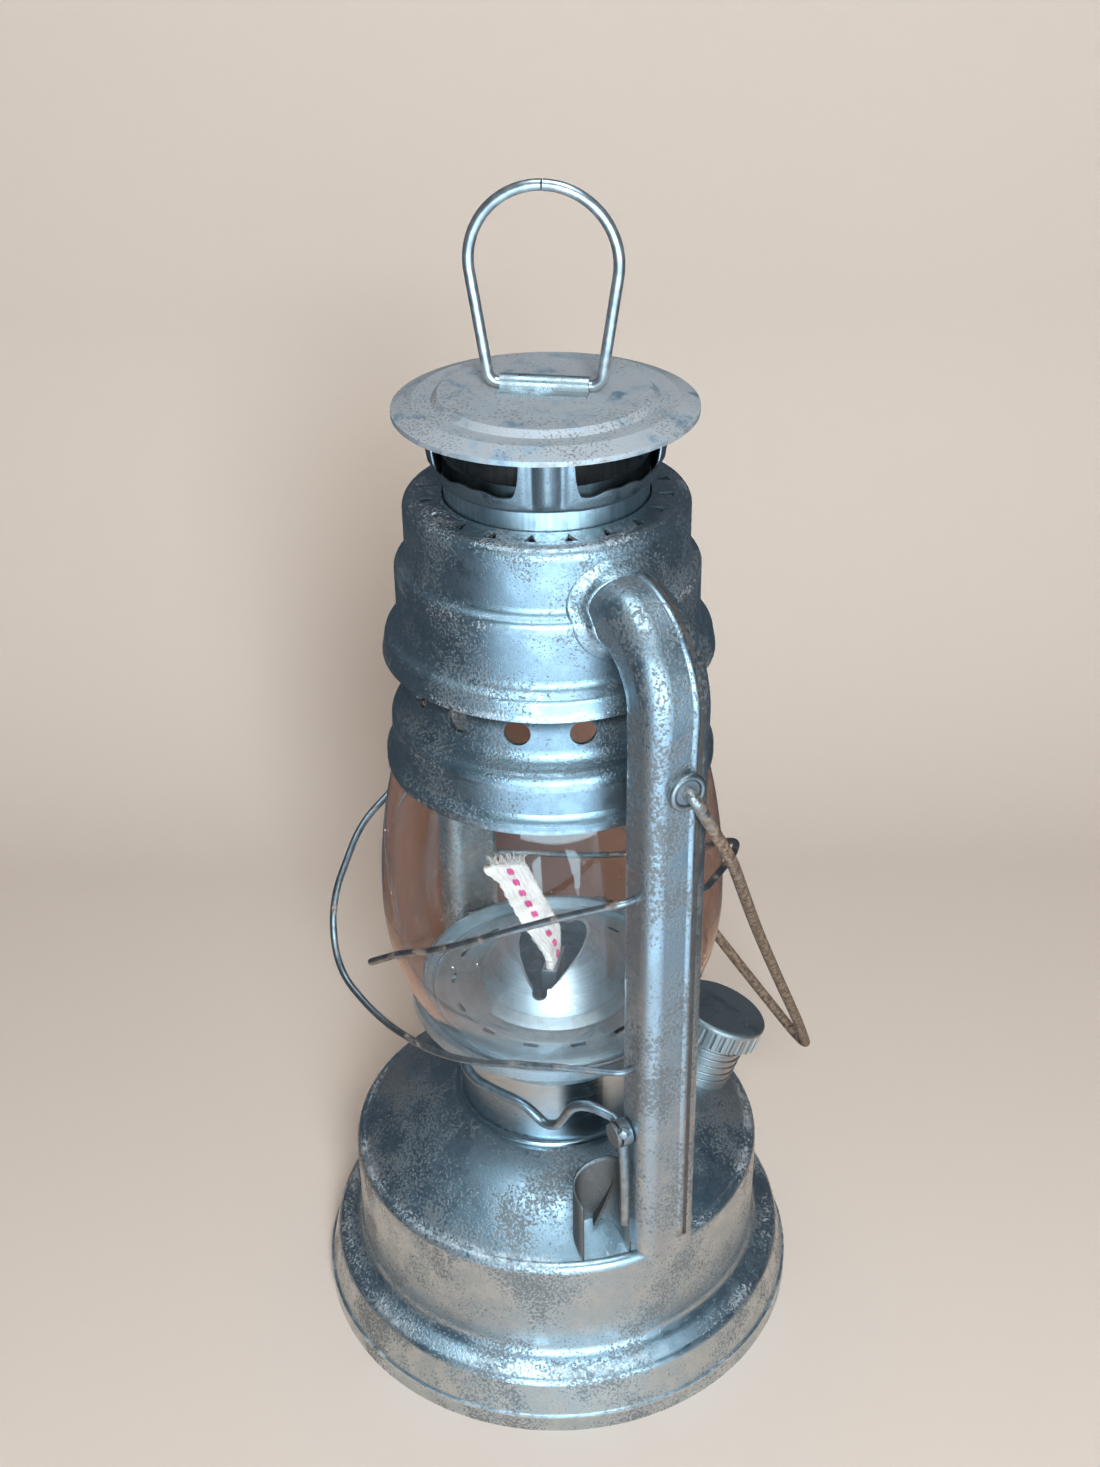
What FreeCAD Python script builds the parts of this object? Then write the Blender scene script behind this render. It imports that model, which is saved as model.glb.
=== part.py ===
import FreeCAD, Part
import Sketcher
import math
import os

Vector = FreeCAD.Vector

doc = FreeCAD.newDocument("lantern")

# Driving dimensions in millimetres, angles in degrees.
SIZES = {
    # general
    "sheet": 0.8,
    "fit": 0.05,
    "seat_gap": 0.3,
    "slide_clearance": 0.4,
    # tank
    "wall_radius": 46.5,
    "foot_spread": 8.5,
    "hem_height": 4.2,
    "hem_fold": 0.5,
    "skirt_height": 7.6,
    "skirt_lean": 12.0,
    "skirt_round": 2.0,
    "shelf_slope": 20.0,
    "shelf_fillet": 3.5,
    "wall_height": 23.425,
    "shoulder_round": 2.0,
    "dome_rise": 11.8,
    "dome_bend": 70.0,
    "bottom_recess": 2.2,
    # burner collar
    "collar_radius": 21.6,
    "collar_bead": 1.2,
    "collar_bead_height": 1.8,
    "collar_height": 17.2,
    "dome_land": 2.0,
    # burner
    "burner_turn": -41.5,
    "burner_depth": 8.0,
    "waist_radius": 16.0,
    "gallery_height": 9.5,
    "gallery_lip": 5.0,
    "gallery_flange": 1.0,
    "air_hole_radius": 1.8,
    "air_holes": 6,
    "cone_height": 17.0,
    "cone_seat": 0.9,
    "cone_skirt_rise": 2.5,
    "cone_foot_rise": 4.0,
    "cone_foot_spread": 2.4,
    "cone_dome_radius": 16.2,
    "cone_dome_bend": 20.0,
    "cone_clearance": 0.4,
    "notch_depth": 8.2,
    "notch_foot": 1.5,
    "notch_slope": 1.15,
    "notch_hole_radius": 1.7,
    "slit_width": 0.9,
    "slit_length": 3.2,
    "slits": 14,
    # wick and its raiser
    "wick_width": 8.0,
    "wick_thickness": 1.8,
    "wick_slack": 0.25,
    "wick_tube_wall": 0.5,
    "wick_tube_rise": 7.4,
    "wick_reach": 7.0,
    "wick_free_height": 26.0,
    "wick_lean_reach": 9.8,
    "wick_twist": -77.0,
    "wick_travel_down": 3.0,
    "wheel_radius": 3.0,
    "wheel_width": 1.2,
    "wheel_offset": 2.2,
    "wheel_teeth": 12,
    "tooth_depth": 0.7,
    "tooth_gap": 1.05,
    "shaft_radius": 1.0,
    "shaft_rise": 4.8,
    "knob_radius": 5.6,
    "knob_width": 2.6,
    "knob_gap": 1.6,
    "knob_notches": 18,
    "knob_notch_radius": 0.9,
    "knob_hub_radius": 2.4,
    # globe and its plate
    "plate_lip": 2.0,
    "plate_lip_gap": 2.0,
    "globe_foot_radius": 28.6,
    "globe_radius": 36.5,
    "globe_belly": 27.0,
    "globe_top_radius": 30.2,
    "globe_neck": 6.0,
    "globe_height": 73.2,
    "glass": 1.6,
    # bell
    "globe_slack": 1.0,
    "bell_drum_height": 12.0,
    "bell_rim": 1.4,
    "bell_rim_height": 1.8,
    "bell_rim_bend": 4.3,
    "bell_shoulder_drop": 2.6,
    "bell_shoulder_round": 3.0,
    "bell_cove": 3.6,
    "bell_slope": 30.0,
    "bell_neck_step": 4.0,
    "bell_neck_height": 14.6,
    "bell_top_round": 1.6,
    "bell_holes": 14,
    "bell_hole_radius": 2.6,
    "bell_hole_rise": 7.0,
    "neck_clearance": 1.0,
    # hood
    "hood_rise": 12.4,
    "hood_rim": 3.2,
    "hood_skirt": 3.4,
    "hood_skirt_lean": 10.0,
    "hood_skirt_round": 1.4,
    "hood_fillet": 2.4,
    "hood_slope": 30.0,
    "hood_step": 17.5,
    "hood_taper": 2.2,
    "hood_step_round": 1.6,
    "hood_step_fillet": 2.0,
    "hood_height": 32.3,
    "hood_round": 2.5,
    "vents": 20,
    "vent_width": 2.4,
    "vent_length": 3.2,
    # chimney, crown and cap
    "chimney_radius": 19.6,
    "chimney_inset": 3.0,
    "chimney_lap": 3.4,
    "crown_gap": 5.0,
    "crown_height": 12.6,
    "crown_radius": 22.8,
    "crown_foot": 3.0,
    "crown_flare": 3.0,
    "crown_turn": -28.5,
    "crown_slots": 4,
    "crown_slot_width": 22.8,
    "crown_slot_rise": 5.4,
    "crown_slot_round": 3.0,
    "column_bead": 2.0,
    "column_reach": 2.4,
    "column_nub": 0.6,
    "cap_radius": 28.7,
    "cap_lip": 1.0,
    "cap_drop": 1.3,
    "cap_flat": 24.8,
    "cap_ring": 20.0,
    "cap_rise": 1.2,
    "spring_wire": 1.3,
    "spring_radius": 22.6,
    "spring_turns": 3,
    # ring and strap
    "ring_turn": 51.5,
    "ring_wire": 2.1,
    "ring_width": 29.4,
    "ring_leg_span": 20.8,
    "ring_height": 37.2,
    "ring_bend": 2.2,
    "ring_butt": 0.3,
    "strap_length": 16.6,
    "strap_width": 9.0,
    "strap_sheet": 0.6,
    "ring_play": 0.08,
    # side tubes
    "tube_gap": 2.5,
    "tube_width": 13.5,
    "tube_depth": 11.0,
    "tube_corner": 3.4,
    "tube_wall": 0.8,
    "tube_inset": 0.4,
    "tube_foot_round": 4.4,
    "elbow_width": 15.0,
    "elbow_depth": 14.0,
    "elbow_corner": 6.2,
    "elbow_straight": 4.0,
    "elbow_drop": 12.6,
    "foot_gap": 0.1,
    "boot_height": 30.0,
    "boot_top_half": 4.6,
    "boot_top_reach": 1.7,
    "boot_waist_rise": 15.0,
    "boot_waist_half": 6.4,
    "boot_waist_reach": 3.4,
    "boot_foot_half": 12.4,
    "boot_foot_reach": 8.6,
    "boot_hole_radius": 1.5,
    "boot_hole_rise": 18.0,
    # eyelets and bail
    "eyelet_drop": 7.7,
    "eyelet_radius": 3.4,
    "eyelet_width": 1.4,
    "bail_wire": 2.4,
    "bail_hole": 0.4,
    "bail_stand": 2.2,
    "bail_inset": 2.8,
    "bail_length": 148.5,
    "bail_rest": 29.5,
    "bail_bend": 2.0,
    "bail_tip_bend": 4.0,
    "bail_knee_inset": 1.8,
    "bail_knee_drop": 15.0,
    "bail_high_inset": 2.9,
    "bail_high_drop": 22.5,
    "bail_middle_share": 0.634,
    "bail_middle_drop": 60.0,
    "bail_low_share": 0.41,
    "bail_low_drop": 92.0,
    "bail_neck_share": 0.196,
    "bail_neck_drop": 125.0,
    # filler
    "filler_azimuth": 78.0,
    "filler_tilt": 22.0,
    "filler_sink": 4.0,
    "neck_radius": 8.4,
    "neck_wall": 1.0,
    "neck_height": 16.0,
    "gasket": 1.0,
    "filler_cap_radius": 11.0,
    "filler_cap_skirt": 5.6,
    "filler_cap_top": 1.2,
    "filler_cap_round": 1.0,
    "filler_thread_gap": 0.4,
    "flutes": 30,
    "flute_radius": 0.7,
    # guard wires and lift lever
    "guard_wire": 1.5,
    "guard_gap": 3.2,
    "guard_stub": 2.6,
    "lever_wire": 2.2,
    "lever_gap": 0.35,
    "lever_eye": 2.9,
    "lever_rise": 5.4,
    "lever_inset": 1.2,
    "lever_handle": 24.3,
    "lever_arm_angle": 30.0,
    "lever_handle_angle": 255.0,
    "lever_tip_turn": -80.0,
    "lever_tip_inset": 5.0,
    "pin_radius": 1.2,
    "pin_head": 2.5,
    "pin_head_height": 0.8,
}

sheet = doc.addObject("Spreadsheet::Sheet", "dim")
for row, (alias, number) in enumerate(SIZES.items(), start=1):
    sheet.set("A%d" % row, alias)
    sheet.set("B%d" % row, str(number))
    sheet.setAlias("B%d" % row, alias)
doc.recompute()

NODES = []


def value(expression):
    """The number that an expression over the sheet gives."""
    return float(sheet.evalExpression(str(expression)))


def size(alias):
    """The number in one cell of the sheet."""
    return float(sheet.get(alias))


def keep(item):
    """Marks a finished piece, which gets a file named after its label."""
    NODES.append(item)
    return item


# Radii that follow from the pieces they fit.
BASE_R = "(dim.wall_radius + dim.foot_spread)"
FILLER_R = "((dim.wall_radius + dim.collar_radius) / 2)"
LIP_R = "(dim.globe_foot_radius + dim.plate_lip_gap + dim.sheet)"
DRUM_R = "(dim.globe_top_radius + dim.globe_slack + dim.sheet)"
NECK_R = "(%s - dim.bell_neck_step)" % DRUM_R
HOOD_R = "(%s + dim.neck_clearance + dim.sheet)" % NECK_R
HOOD_TOP_R = "(%s - dim.hood_taper)" % HOOD_R
TUBE_R = "(dim.globe_radius + dim.tube_gap + dim.tube_depth / 2)"
TUBE_FACE = "(%s + dim.tube_depth / 2)" % TUBE_R
TUBE_END = "(%s - dim.sheet - dim.tube_inset)" % HOOD_TOP_R
SHAFT_Y = "(dim.wick_thickness / 2 + dim.wick_slack + dim.wheel_radius)"


def pressed_step(radius, up, lean, slope, rounding, fillet, inner):
    """Corners of a pressed step: off a leaning skirt, over a sloping shelf and up into an inner wall."""
    turn = "(cos(%s) - sin(%s))" % (lean, slope)
    shelf_out = "(%s - %s * %s)" % (radius, rounding, turn)
    shelf_low = "(%s + %s * (cos(%s) - sin(%s)))" % (up, rounding, slope, lean)
    shelf_in = "(%s + %s * (1 - sin(%s)))" % (inner, fillet, slope)
    shelf_high = "(%s + (%s - %s) * tan(%s))" % (shelf_low, shelf_out, shelf_in, slope)
    return [
        (radius, up),
        (shelf_out, shelf_low, rounding, -1),
        (shelf_in, shelf_high),
        (inner, "(%s + %s * cos(%s))" % (shelf_high, fillet, slope), fillet, 1),
    ]


# Heights above the floor, stacked from the base up.
SKIRT_TOP_R = "(%s - dim.hem_fold - dim.skirt_height * tan(dim.skirt_lean))" % BASE_R
SKIRT_Z = "(dim.hem_height + dim.skirt_height)"
TANK_STEP = pressed_step(
    SKIRT_TOP_R,
    SKIRT_Z,
    "dim.skirt_lean",
    "dim.shelf_slope",
    "dim.skirt_round",
    "dim.shelf_fillet",
    "dim.wall_radius",
)
SHOULDER_Z = "(%s + dim.wall_height)" % TANK_STEP[-1][1]
DOME_Z = "(%s + dim.dome_rise)" % SHOULDER_Z
COLLAR_Z = "(%s + dim.collar_height)" % DOME_Z
GALLERY_Z = "(%s + dim.gallery_height)" % COLLAR_Z
PLATE_Z = "(%s + dim.seat_gap)" % GALLERY_Z
SEAT_Z = "(%s + dim.sheet)" % PLATE_Z
GLOBE_Z = "(%s + dim.globe_height)" % SEAT_Z
STEP_Z = "(%s + dim.seat_gap + dim.sheet)" % GLOBE_Z
BELL_TOP_Z = "(%s + dim.bell_neck_height)" % STEP_Z
HOOD_Z = "(%s + dim.hood_rise)" % STEP_Z
HOOD_TOP_Z = "(%s + dim.hood_height)" % HOOD_Z
CROWN_Z = "(%s + dim.crown_gap)" % HOOD_TOP_Z
CAP_Z = "(%s + dim.crown_height)" % CROWN_Z
CAP_TOP_Z = "(%s + dim.sheet + dim.cap_rise)" % CAP_Z
RING_Z = "(%s + dim.ring_wire / 2 + dim.ring_play)" % CAP_TOP_Z
ELBOW_Z = "(%s - dim.elbow_drop)" % HOOD_TOP_Z
EYELET_Z = "(%s - dim.eyelet_drop)" % HOOD_Z
SHAFT_Z = "(%s + dim.shaft_rise)" % COLLAR_Z
WICK_Z = "(%s + dim.wick_tube_rise)" % SEAT_Z
NOTCH_Z = "(%s + dim.cone_height - dim.notch_depth)" % SEAT_Z


def plane(body, role):
    """One of a body's own origin planes or axes."""
    return next(item for item in body.Origin.OriginFeatures if item.Role == role)


def unit(start, end):
    length = math.hypot(end[0] - start[0], end[1] - start[1])
    return ((end[0] - start[0]) / length, (end[1] - start[1]) / length)


def arc_centre(start, end, radius, side):
    """Centre of the short arc from start to end that bulges to the left (1) or right (-1) of travel."""
    along = unit(start, end)
    half = math.hypot(end[0] - start[0], end[1] - start[1]) / 2
    reach = math.sqrt(max(radius * radius - half * half, 0.0))
    middle = ((start[0] + end[0]) / 2, (start[1] + end[1]) / 2)
    return (middle[0] + side * along[1] * reach, middle[1] - side * along[0] * reach)


def end_directions(start, end, bend):
    """Travel directions at both ends of a straight or arced side."""
    if bend is None:
        return unit(start, end), unit(start, end)
    radius, side = bend
    centre = arc_centre(start, end, radius, side)
    first = unit(centre, start)
    last = unit(centre, end)
    return (side * first[1], -side * first[0]), (side * last[1], -side * last[0])


def bend_of(vertex):
    return (value(vertex[2]), vertex[3]) if len(vertex) > 2 else None


def offset_line(vertices, gap):
    """The outline moved sideways, to the left of its travel, by an even gap."""
    points = [(value(vertex[0]), value(vertex[1])) for vertex in vertices]
    bends = [bend_of(vertex) for vertex in vertices]
    sides = [end_directions(points[k], points[k + 1], bends[k + 1]) for k in range(len(points) - 1)]
    moved = []
    for k, vertex in enumerate(vertices):
        before = sides[k - 1][1] if k > 0 else sides[0][0]
        after = sides[k][0] if k < len(sides) else sides[-1][1]
        share = 1 + before[0] * after[0] + before[1] * after[1]
        across = -(before[1] + after[1]) / share
        up = (before[0] + after[0]) / share
        radial = "0" if vertex[0] == "0" else "(%s) + (%.7f) * (%s)" % (vertex[0], across, gap)
        corner = (radial, "(%s) + (%.7f) * (%s)" % (vertex[1], up, gap))
        if len(vertex) > 2:
            corner = corner + ("(%s) + (%d) * (%s)" % (vertex[2], vertex[3], gap), vertex[3])
        moved.append(corner)
    return moved


def walled(vertices, wall):
    """Closes an open outline into a wall of even thickness on the left of its travel."""
    inner = offset_line(vertices, wall)
    closed = list(vertices) + [inner[-1][:2]]
    for k in range(len(inner) - 2, -1, -1):
        bend = inner[k + 1][2:]
        closed.append(inner[k][:2] + ((bend[0], -bend[1]) if bend else ()))
    return closed


def outline(sketch, vertices, closed=True):
    """Draws an outline whose corners and bends are bound to the sheet."""
    points = [(value(vertex[0]), value(vertex[1])) for vertex in vertices]
    count = len(vertices)
    ends = []
    for k in range(count if closed else count - 1):
        start = points[k]
        end = points[(k + 1) % count]
        bend = bend_of(vertices[(k + 1) % count])
        if bend is None:
            edge = sketch.addGeometry(Part.LineSegment(Vector(*start, 0), Vector(*end, 0)))
            ends.append((edge, 1, 2))
            continue
        radius, side = bend
        centre = arc_centre(start, end, radius, side)
        circle = Part.Circle(Vector(*centre, 0), Vector(0, 0, 1), radius)
        first = math.atan2(start[1] - centre[1], start[0] - centre[0])
        last = math.atan2(end[1] - centre[1], end[0] - centre[0])
        if side > 0:
            edge = sketch.addGeometry(Part.ArcOfCircle(circle, last, first))
            ends.append((edge, 2, 1))
        else:
            edge = sketch.addGeometry(Part.ArcOfCircle(circle, first, last))
            ends.append((edge, 1, 2))
    for k in range(count if closed else count - 2):
        edge, _, spot = ends[k]
        follower = ends[(k + 1) % count]
        sketch.addConstraint(Sketcher.Constraint("Coincident", edge, spot, follower[0], follower[1]))
    for k, vertex in enumerate(vertices):
        edge, spot = ends[k][:2] if k < len(ends) else (ends[-1][0], ends[-1][2])
        for kind, axis, expression in (("DistanceX", -2, vertex[0]), ("DistanceY", -1, vertex[1])):
            number = value(expression)
            if expression == "0":
                sketch.addConstraint(Sketcher.Constraint("PointOnObject", edge, spot, axis))
            elif number < 0:
                index = sketch.addConstraint(Sketcher.Constraint(kind, edge, spot, -1, 1, -number))
                sketch.setExpression("Constraints[%d]" % index, "-(%s)" % expression)
            else:
                index = sketch.addConstraint(Sketcher.Constraint(kind, -1, 1, edge, spot, number))
                sketch.setExpression("Constraints[%d]" % index, expression)
        ending = vertices[(k + 1) % count]
        if len(ending) > 2 and k < len(ends):
            index = sketch.addConstraint(Sketcher.Constraint("Radius", edge, value(ending[2])))
            sketch.setExpression("Constraints[%d]" % index, ending[2])
    return sketch


def sketch_in(body, name, role, offset=None):
    """A sketch on one of the body's own origin planes, lifted off it along its normal if asked."""
    sketch = body.newObject("Sketcher::SketchObject", name)
    sketch.AttachmentSupport = (plane(body, role), "")
    sketch.MapMode = "FlatFace"
    if offset is not None:
        sketch.AttachmentOffset = FreeCAD.Placement(Vector(0, 0, value(offset)), FreeCAD.Rotation())
        sketch.setExpression("AttachmentOffset.Base.z", offset)
    return sketch


def round_hole(sketch, across, up, radius):
    """Draws a circle whose place and radius are bound to the sheet."""
    centre = Vector(value(across), value(up), 0)
    edge = sketch.addGeometry(Part.Circle(centre, Vector(0, 0, 1), value(radius)))
    index = sketch.addConstraint(Sketcher.Constraint("Radius", edge, value(radius)))
    sketch.setExpression("Constraints[%d]" % index, radius)
    for kind, axis, expression in (("DistanceX", -2, across), ("DistanceY", -1, up)):
        if expression == "0":
            sketch.addConstraint(Sketcher.Constraint("PointOnObject", edge, 3, axis))
        else:
            index = sketch.addConstraint(Sketcher.Constraint(kind, -1, 1, edge, 3, value(expression)))
            sketch.setExpression("Constraints[%d]" % index, expression)
    return sketch


def new_body(label):
    body = doc.addObject("PartDesign::Body", label)
    body.Label = label
    return body


def turned(label, vertices):
    """A body turned about its upright axis from a closed outline."""
    body = new_body(label)
    profile = outline(sketch_in(body, label + "_profile", "XZ_Plane"), vertices)
    turn = body.newObject("PartDesign::Revolution", label + "_turn")
    turn.Profile = profile
    turn.ReferenceAxis = (profile, ["V_Axis"])
    turn.Angle = 360
    doc.recompute()
    return body


def shell(label, vertices, wall="dim.sheet"):
    """A pressed sheet turned about its upright axis."""
    return turned(label, walled(vertices, wall))


def padded(label, role, vertices, length, offset=None):
    """A body raised evenly to both sides of a sketch plane."""
    body = new_body(label)
    profile = outline(sketch_in(body, label + "_profile", role, offset), vertices)
    pad = body.newObject("PartDesign::Pad", label + "_pad")
    pad.Profile = profile
    pad.SideType = "Symmetric"
    pad.Length = value(length)
    pad.setExpression("Length", length)
    doc.recompute()
    return body


def cut(body, sketch, length, both_ways=False, towards_normal=True):
    """Cuts a sketch through the body, and checks that it took material away."""
    doc.recompute()
    before = body.Shape.Volume
    pocket = body.newObject("PartDesign::Pocket", sketch.Name + "_cut")
    pocket.Profile = sketch
    pocket.SideType = "Symmetric" if both_ways else "One side"
    pocket.Reversed = towards_normal
    pocket.Length = value(length)
    pocket.setExpression("Length", length)
    doc.recompute()
    if body.Shape.Volume >= before:
        raise ValueError("nothing was cut by " + sketch.Name)
    return pocket


def round_pattern(body, feature, count):
    """Repeats a feature evenly round the body's upright axis."""
    pattern = body.newObject("PartDesign::PolarPattern", feature.Name + "_ring")
    pattern.Originals = [feature]
    pattern.Axis = (plane(body, "Z_Axis"), [""])
    pattern.Angle = 360
    pattern.Occurrences = int(value(count))
    pattern.setExpression("Occurrences", count)
    body.Tip = pattern
    doc.recompute()
    return pattern


def box_outline(low_across, high_across, low_up, high_up):
    return [(low_across, low_up), (high_across, low_up), (high_across, high_up), (low_across, high_up)]


def rounded_box(half_across, half_up, corner, centre_up="0"):
    """A rounded rectangle about a point on the sketch's upright axis."""
    middle = "" if centre_up == "0" else "%s + " % centre_up
    low = "%s-(%s)" % (middle, half_up)
    high = "%s(%s)" % (middle, half_up)
    low_in = "%s-(%s - (%s))" % (middle, half_up, corner)
    high_in = "%s(%s - (%s))" % (middle, half_up, corner)
    left, right = "-(%s)" % half_across, half_across
    left_in, right_in = "-(%s - (%s))" % (half_across, corner), "(%s - (%s))" % (half_across, corner)
    return [
        (left_in, low, corner, -1),
        (right_in, low),
        (right, low_in, corner, -1),
        (right, high_in),
        (right_in, high, corner, -1),
        (left_in, high),
        (left, high_in, corner, -1),
        (left, low_in),
    ]


def place(body, move=Vector(), *turns):
    """Puts a finished body in its place: turns about axes, applied last to first, then a move."""
    turn = FreeCAD.Rotation()
    for axis, angle in turns:
        turn = turn * FreeCAD.Rotation(axis, angle)
    body.Placement = FreeCAD.Placement(move, turn)
    return body


X_AXIS = Vector(1, 0, 0)
Y_AXIS = Vector(0, 1, 0)
Z_AXIS = Vector(0, 0, 1)


# Tank: pressed shell with hem, flared foot, straight wall and domed top.
TANK_LINE = [
    (BASE_R, "0"),
    (BASE_R, "dim.hem_height"),
    ("%s - dim.hem_fold" % BASE_R, "dim.hem_height"),
    *TANK_STEP,
    ("dim.wall_radius", "%s - dim.shoulder_round" % SHOULDER_Z),
    ("dim.wall_radius - dim.shoulder_round", SHOULDER_Z, "dim.shoulder_round", -1),
    ("dim.collar_radius + dim.dome_land", DOME_Z, "dim.dome_bend", -1),
    ("dim.collar_radius - dim.dome_land", DOME_Z),
]
azimuth = math.radians(size("filler_azimuth"))
filler_foot = Vector(
    value(FILLER_R) * math.cos(azimuth),
    value(FILLER_R) * math.sin(azimuth),
    value("%s + dim.dome_rise / 2" % SHOULDER_Z),
)
filler_turns = ((Z_AXIS, size("filler_azimuth")), (Y_AXIS, size("filler_tilt")))

tank_blank = shell("tank_blank", TANK_LINE)
filler_hole = doc.addObject("Part::Cylinder", "filler_hole")
filler_hole.setExpression("Radius", "dim.neck_radius + dim.fit")
filler_hole.setExpression("Height", "dim.neck_height + dim.filler_sink")
filler_axis = FreeCAD.Rotation(Z_AXIS, size("filler_azimuth")) * FreeCAD.Rotation(Y_AXIS, size("filler_tilt"))
filler_hole.Placement = FreeCAD.Placement(
    filler_foot - filler_axis.multVec(Vector(0, 0, size("filler_sink") + size("sheet"))), filler_axis
)
tank_shell = doc.addObject("Part::Cut", "tank_shell")
tank_shell.Base = tank_blank
tank_shell.Tool = filler_hole
keep(tank_shell)

PAN_R = "(%s - dim.sheet - dim.fit)" % BASE_R
keep(shell("tank_bottom", [(PAN_R, "0"), (PAN_R, "dim.bottom_recess"), ("0", "dim.bottom_recess")]))

# Collar: bright ring with a bead at its foot.
keep(
    turned(
        "burner_collar",
        [
            ("dim.collar_radius - dim.sheet", DOME_Z),
            ("dim.collar_radius + dim.collar_bead", DOME_Z),
            ("dim.collar_radius", "%s + dim.collar_bead_height" % DOME_Z, "dim.collar_bead", -1),
            ("dim.collar_radius", COLLAR_Z),
            ("dim.collar_radius - dim.sheet", COLLAR_Z),
        ],
    )
)

# Burner: cup that sits in the collar, with a waist and a gallery that the globe plate rests on.
SKIRT_R = "(dim.collar_radius - dim.sheet - dim.fit)"
WAIST_IN = "(dim.waist_radius - dim.sheet)"
burner_body = turned(
    "burner_body",
    [
        ("0", "%s - dim.burner_depth" % COLLAR_Z),
        (SKIRT_R, "%s - dim.burner_depth" % COLLAR_Z),
        (SKIRT_R, COLLAR_Z),
        ("dim.collar_radius", COLLAR_Z),
        ("dim.collar_radius", "%s + dim.gallery_flange" % COLLAR_Z),
        ("dim.waist_radius", "%s + dim.gallery_flange" % COLLAR_Z),
        ("dim.waist_radius", "%s - dim.gallery_flange" % GALLERY_Z),
        ("dim.waist_radius + dim.gallery_lip", "%s - dim.gallery_flange" % GALLERY_Z),
        ("dim.waist_radius + dim.gallery_lip", GALLERY_Z),
        (WAIST_IN, GALLERY_Z),
        (WAIST_IN, "%s + dim.gallery_flange - dim.sheet" % COLLAR_Z),
        ("%s - dim.sheet" % SKIRT_R, "%s + dim.gallery_flange - dim.sheet" % COLLAR_Z),
        ("%s - dim.sheet" % SKIRT_R, "%s - dim.burner_depth + dim.sheet" % COLLAR_Z),
        ("0", "%s - dim.burner_depth + dim.sheet" % COLLAR_Z),
    ],
)
TUBE_HALF_W = "(dim.wick_width / 2 + dim.wick_slack + dim.wick_tube_wall)"
TUBE_HALF_T = "(dim.wick_thickness / 2 + dim.wick_slack + dim.wick_tube_wall)"
wick_slot = outline(
    sketch_in(burner_body, "wick_slot", "XY_Plane", "%s - dim.burner_depth" % COLLAR_Z),
    box_outline(
        "-(%s + dim.fit)" % TUBE_HALF_W,
        "%s + dim.fit" % TUBE_HALF_W,
        "-(%s + dim.fit)" % TUBE_HALF_T,
        "%s + dim.fit" % TUBE_HALF_T,
    ),
)
cut(burner_body, wick_slot, "2 * dim.sheet")
shaft_bore = sketch_in(burner_body, "shaft_bore", "YZ_Plane")
round_hole(shaft_bore, SHAFT_Y, SHAFT_Z, "dim.shaft_radius + dim.fit")
cut(burner_body, shaft_bore, "4 * dim.waist_radius", both_ways=True)
air_hole = round_hole(sketch_in(burner_body, "air_hole", "XZ_Plane"), "0", SHAFT_Z, "dim.air_hole_radius")
air_cut = cut(burner_body, air_hole, "2 * dim.waist_radius")
round_pattern(burner_body, air_cut, "dim.air_holes")
burner_turn = (Z_AXIS, size("burner_turn"))
keep(place(burner_body, Vector(), burner_turn))

# Flat tube that guides the wick, with a window for the raiser's wheels.
wick_tube = padded(
    "wick_tube",
    "XY_Plane",
    box_outline("-%s" % TUBE_HALF_W, TUBE_HALF_W, "-%s" % TUBE_HALF_T, TUBE_HALF_T),
    "%s - %s + dim.burner_depth + dim.wick_reach" % (WICK_Z, COLLAR_Z),
    "(%s + %s - dim.burner_depth - dim.wick_reach) / 2" % (WICK_Z, COLLAR_Z),
)
wick_bore = outline(
    sketch_in(wick_tube, "wick_bore", "XY_Plane"),
    box_outline(
        "-(%s - dim.wick_tube_wall)" % TUBE_HALF_W,
        "%s - dim.wick_tube_wall" % TUBE_HALF_W,
        "-(%s - dim.wick_tube_wall)" % TUBE_HALF_T,
        "%s - dim.wick_tube_wall" % TUBE_HALF_T,
    ),
)
cut(wick_tube, wick_bore, "2 * %s" % WICK_Z)
WINDOW = "(dim.wheel_offset + dim.wheel_width / 2 + dim.slide_clearance)"
wheel_window = outline(
    sketch_in(wick_tube, "wheel_window", "XZ_Plane"),
    box_outline(
        "-%s" % WINDOW,
        WINDOW,
        "%s - dim.wheel_radius" % SHAFT_Z,
        "%s + dim.wheel_radius" % SHAFT_Z,
    ),
)
cut(wick_tube, wheel_window, "2 * %s" % TUBE_HALF_T, towards_normal=False)
keep(place(wick_tube, Vector(), burner_turn))

# Wick: a flat strip up the tube, which turns and leans over above the notch.
wick = new_body("wick")
lean = math.radians(size("wick_twist"))
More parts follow.
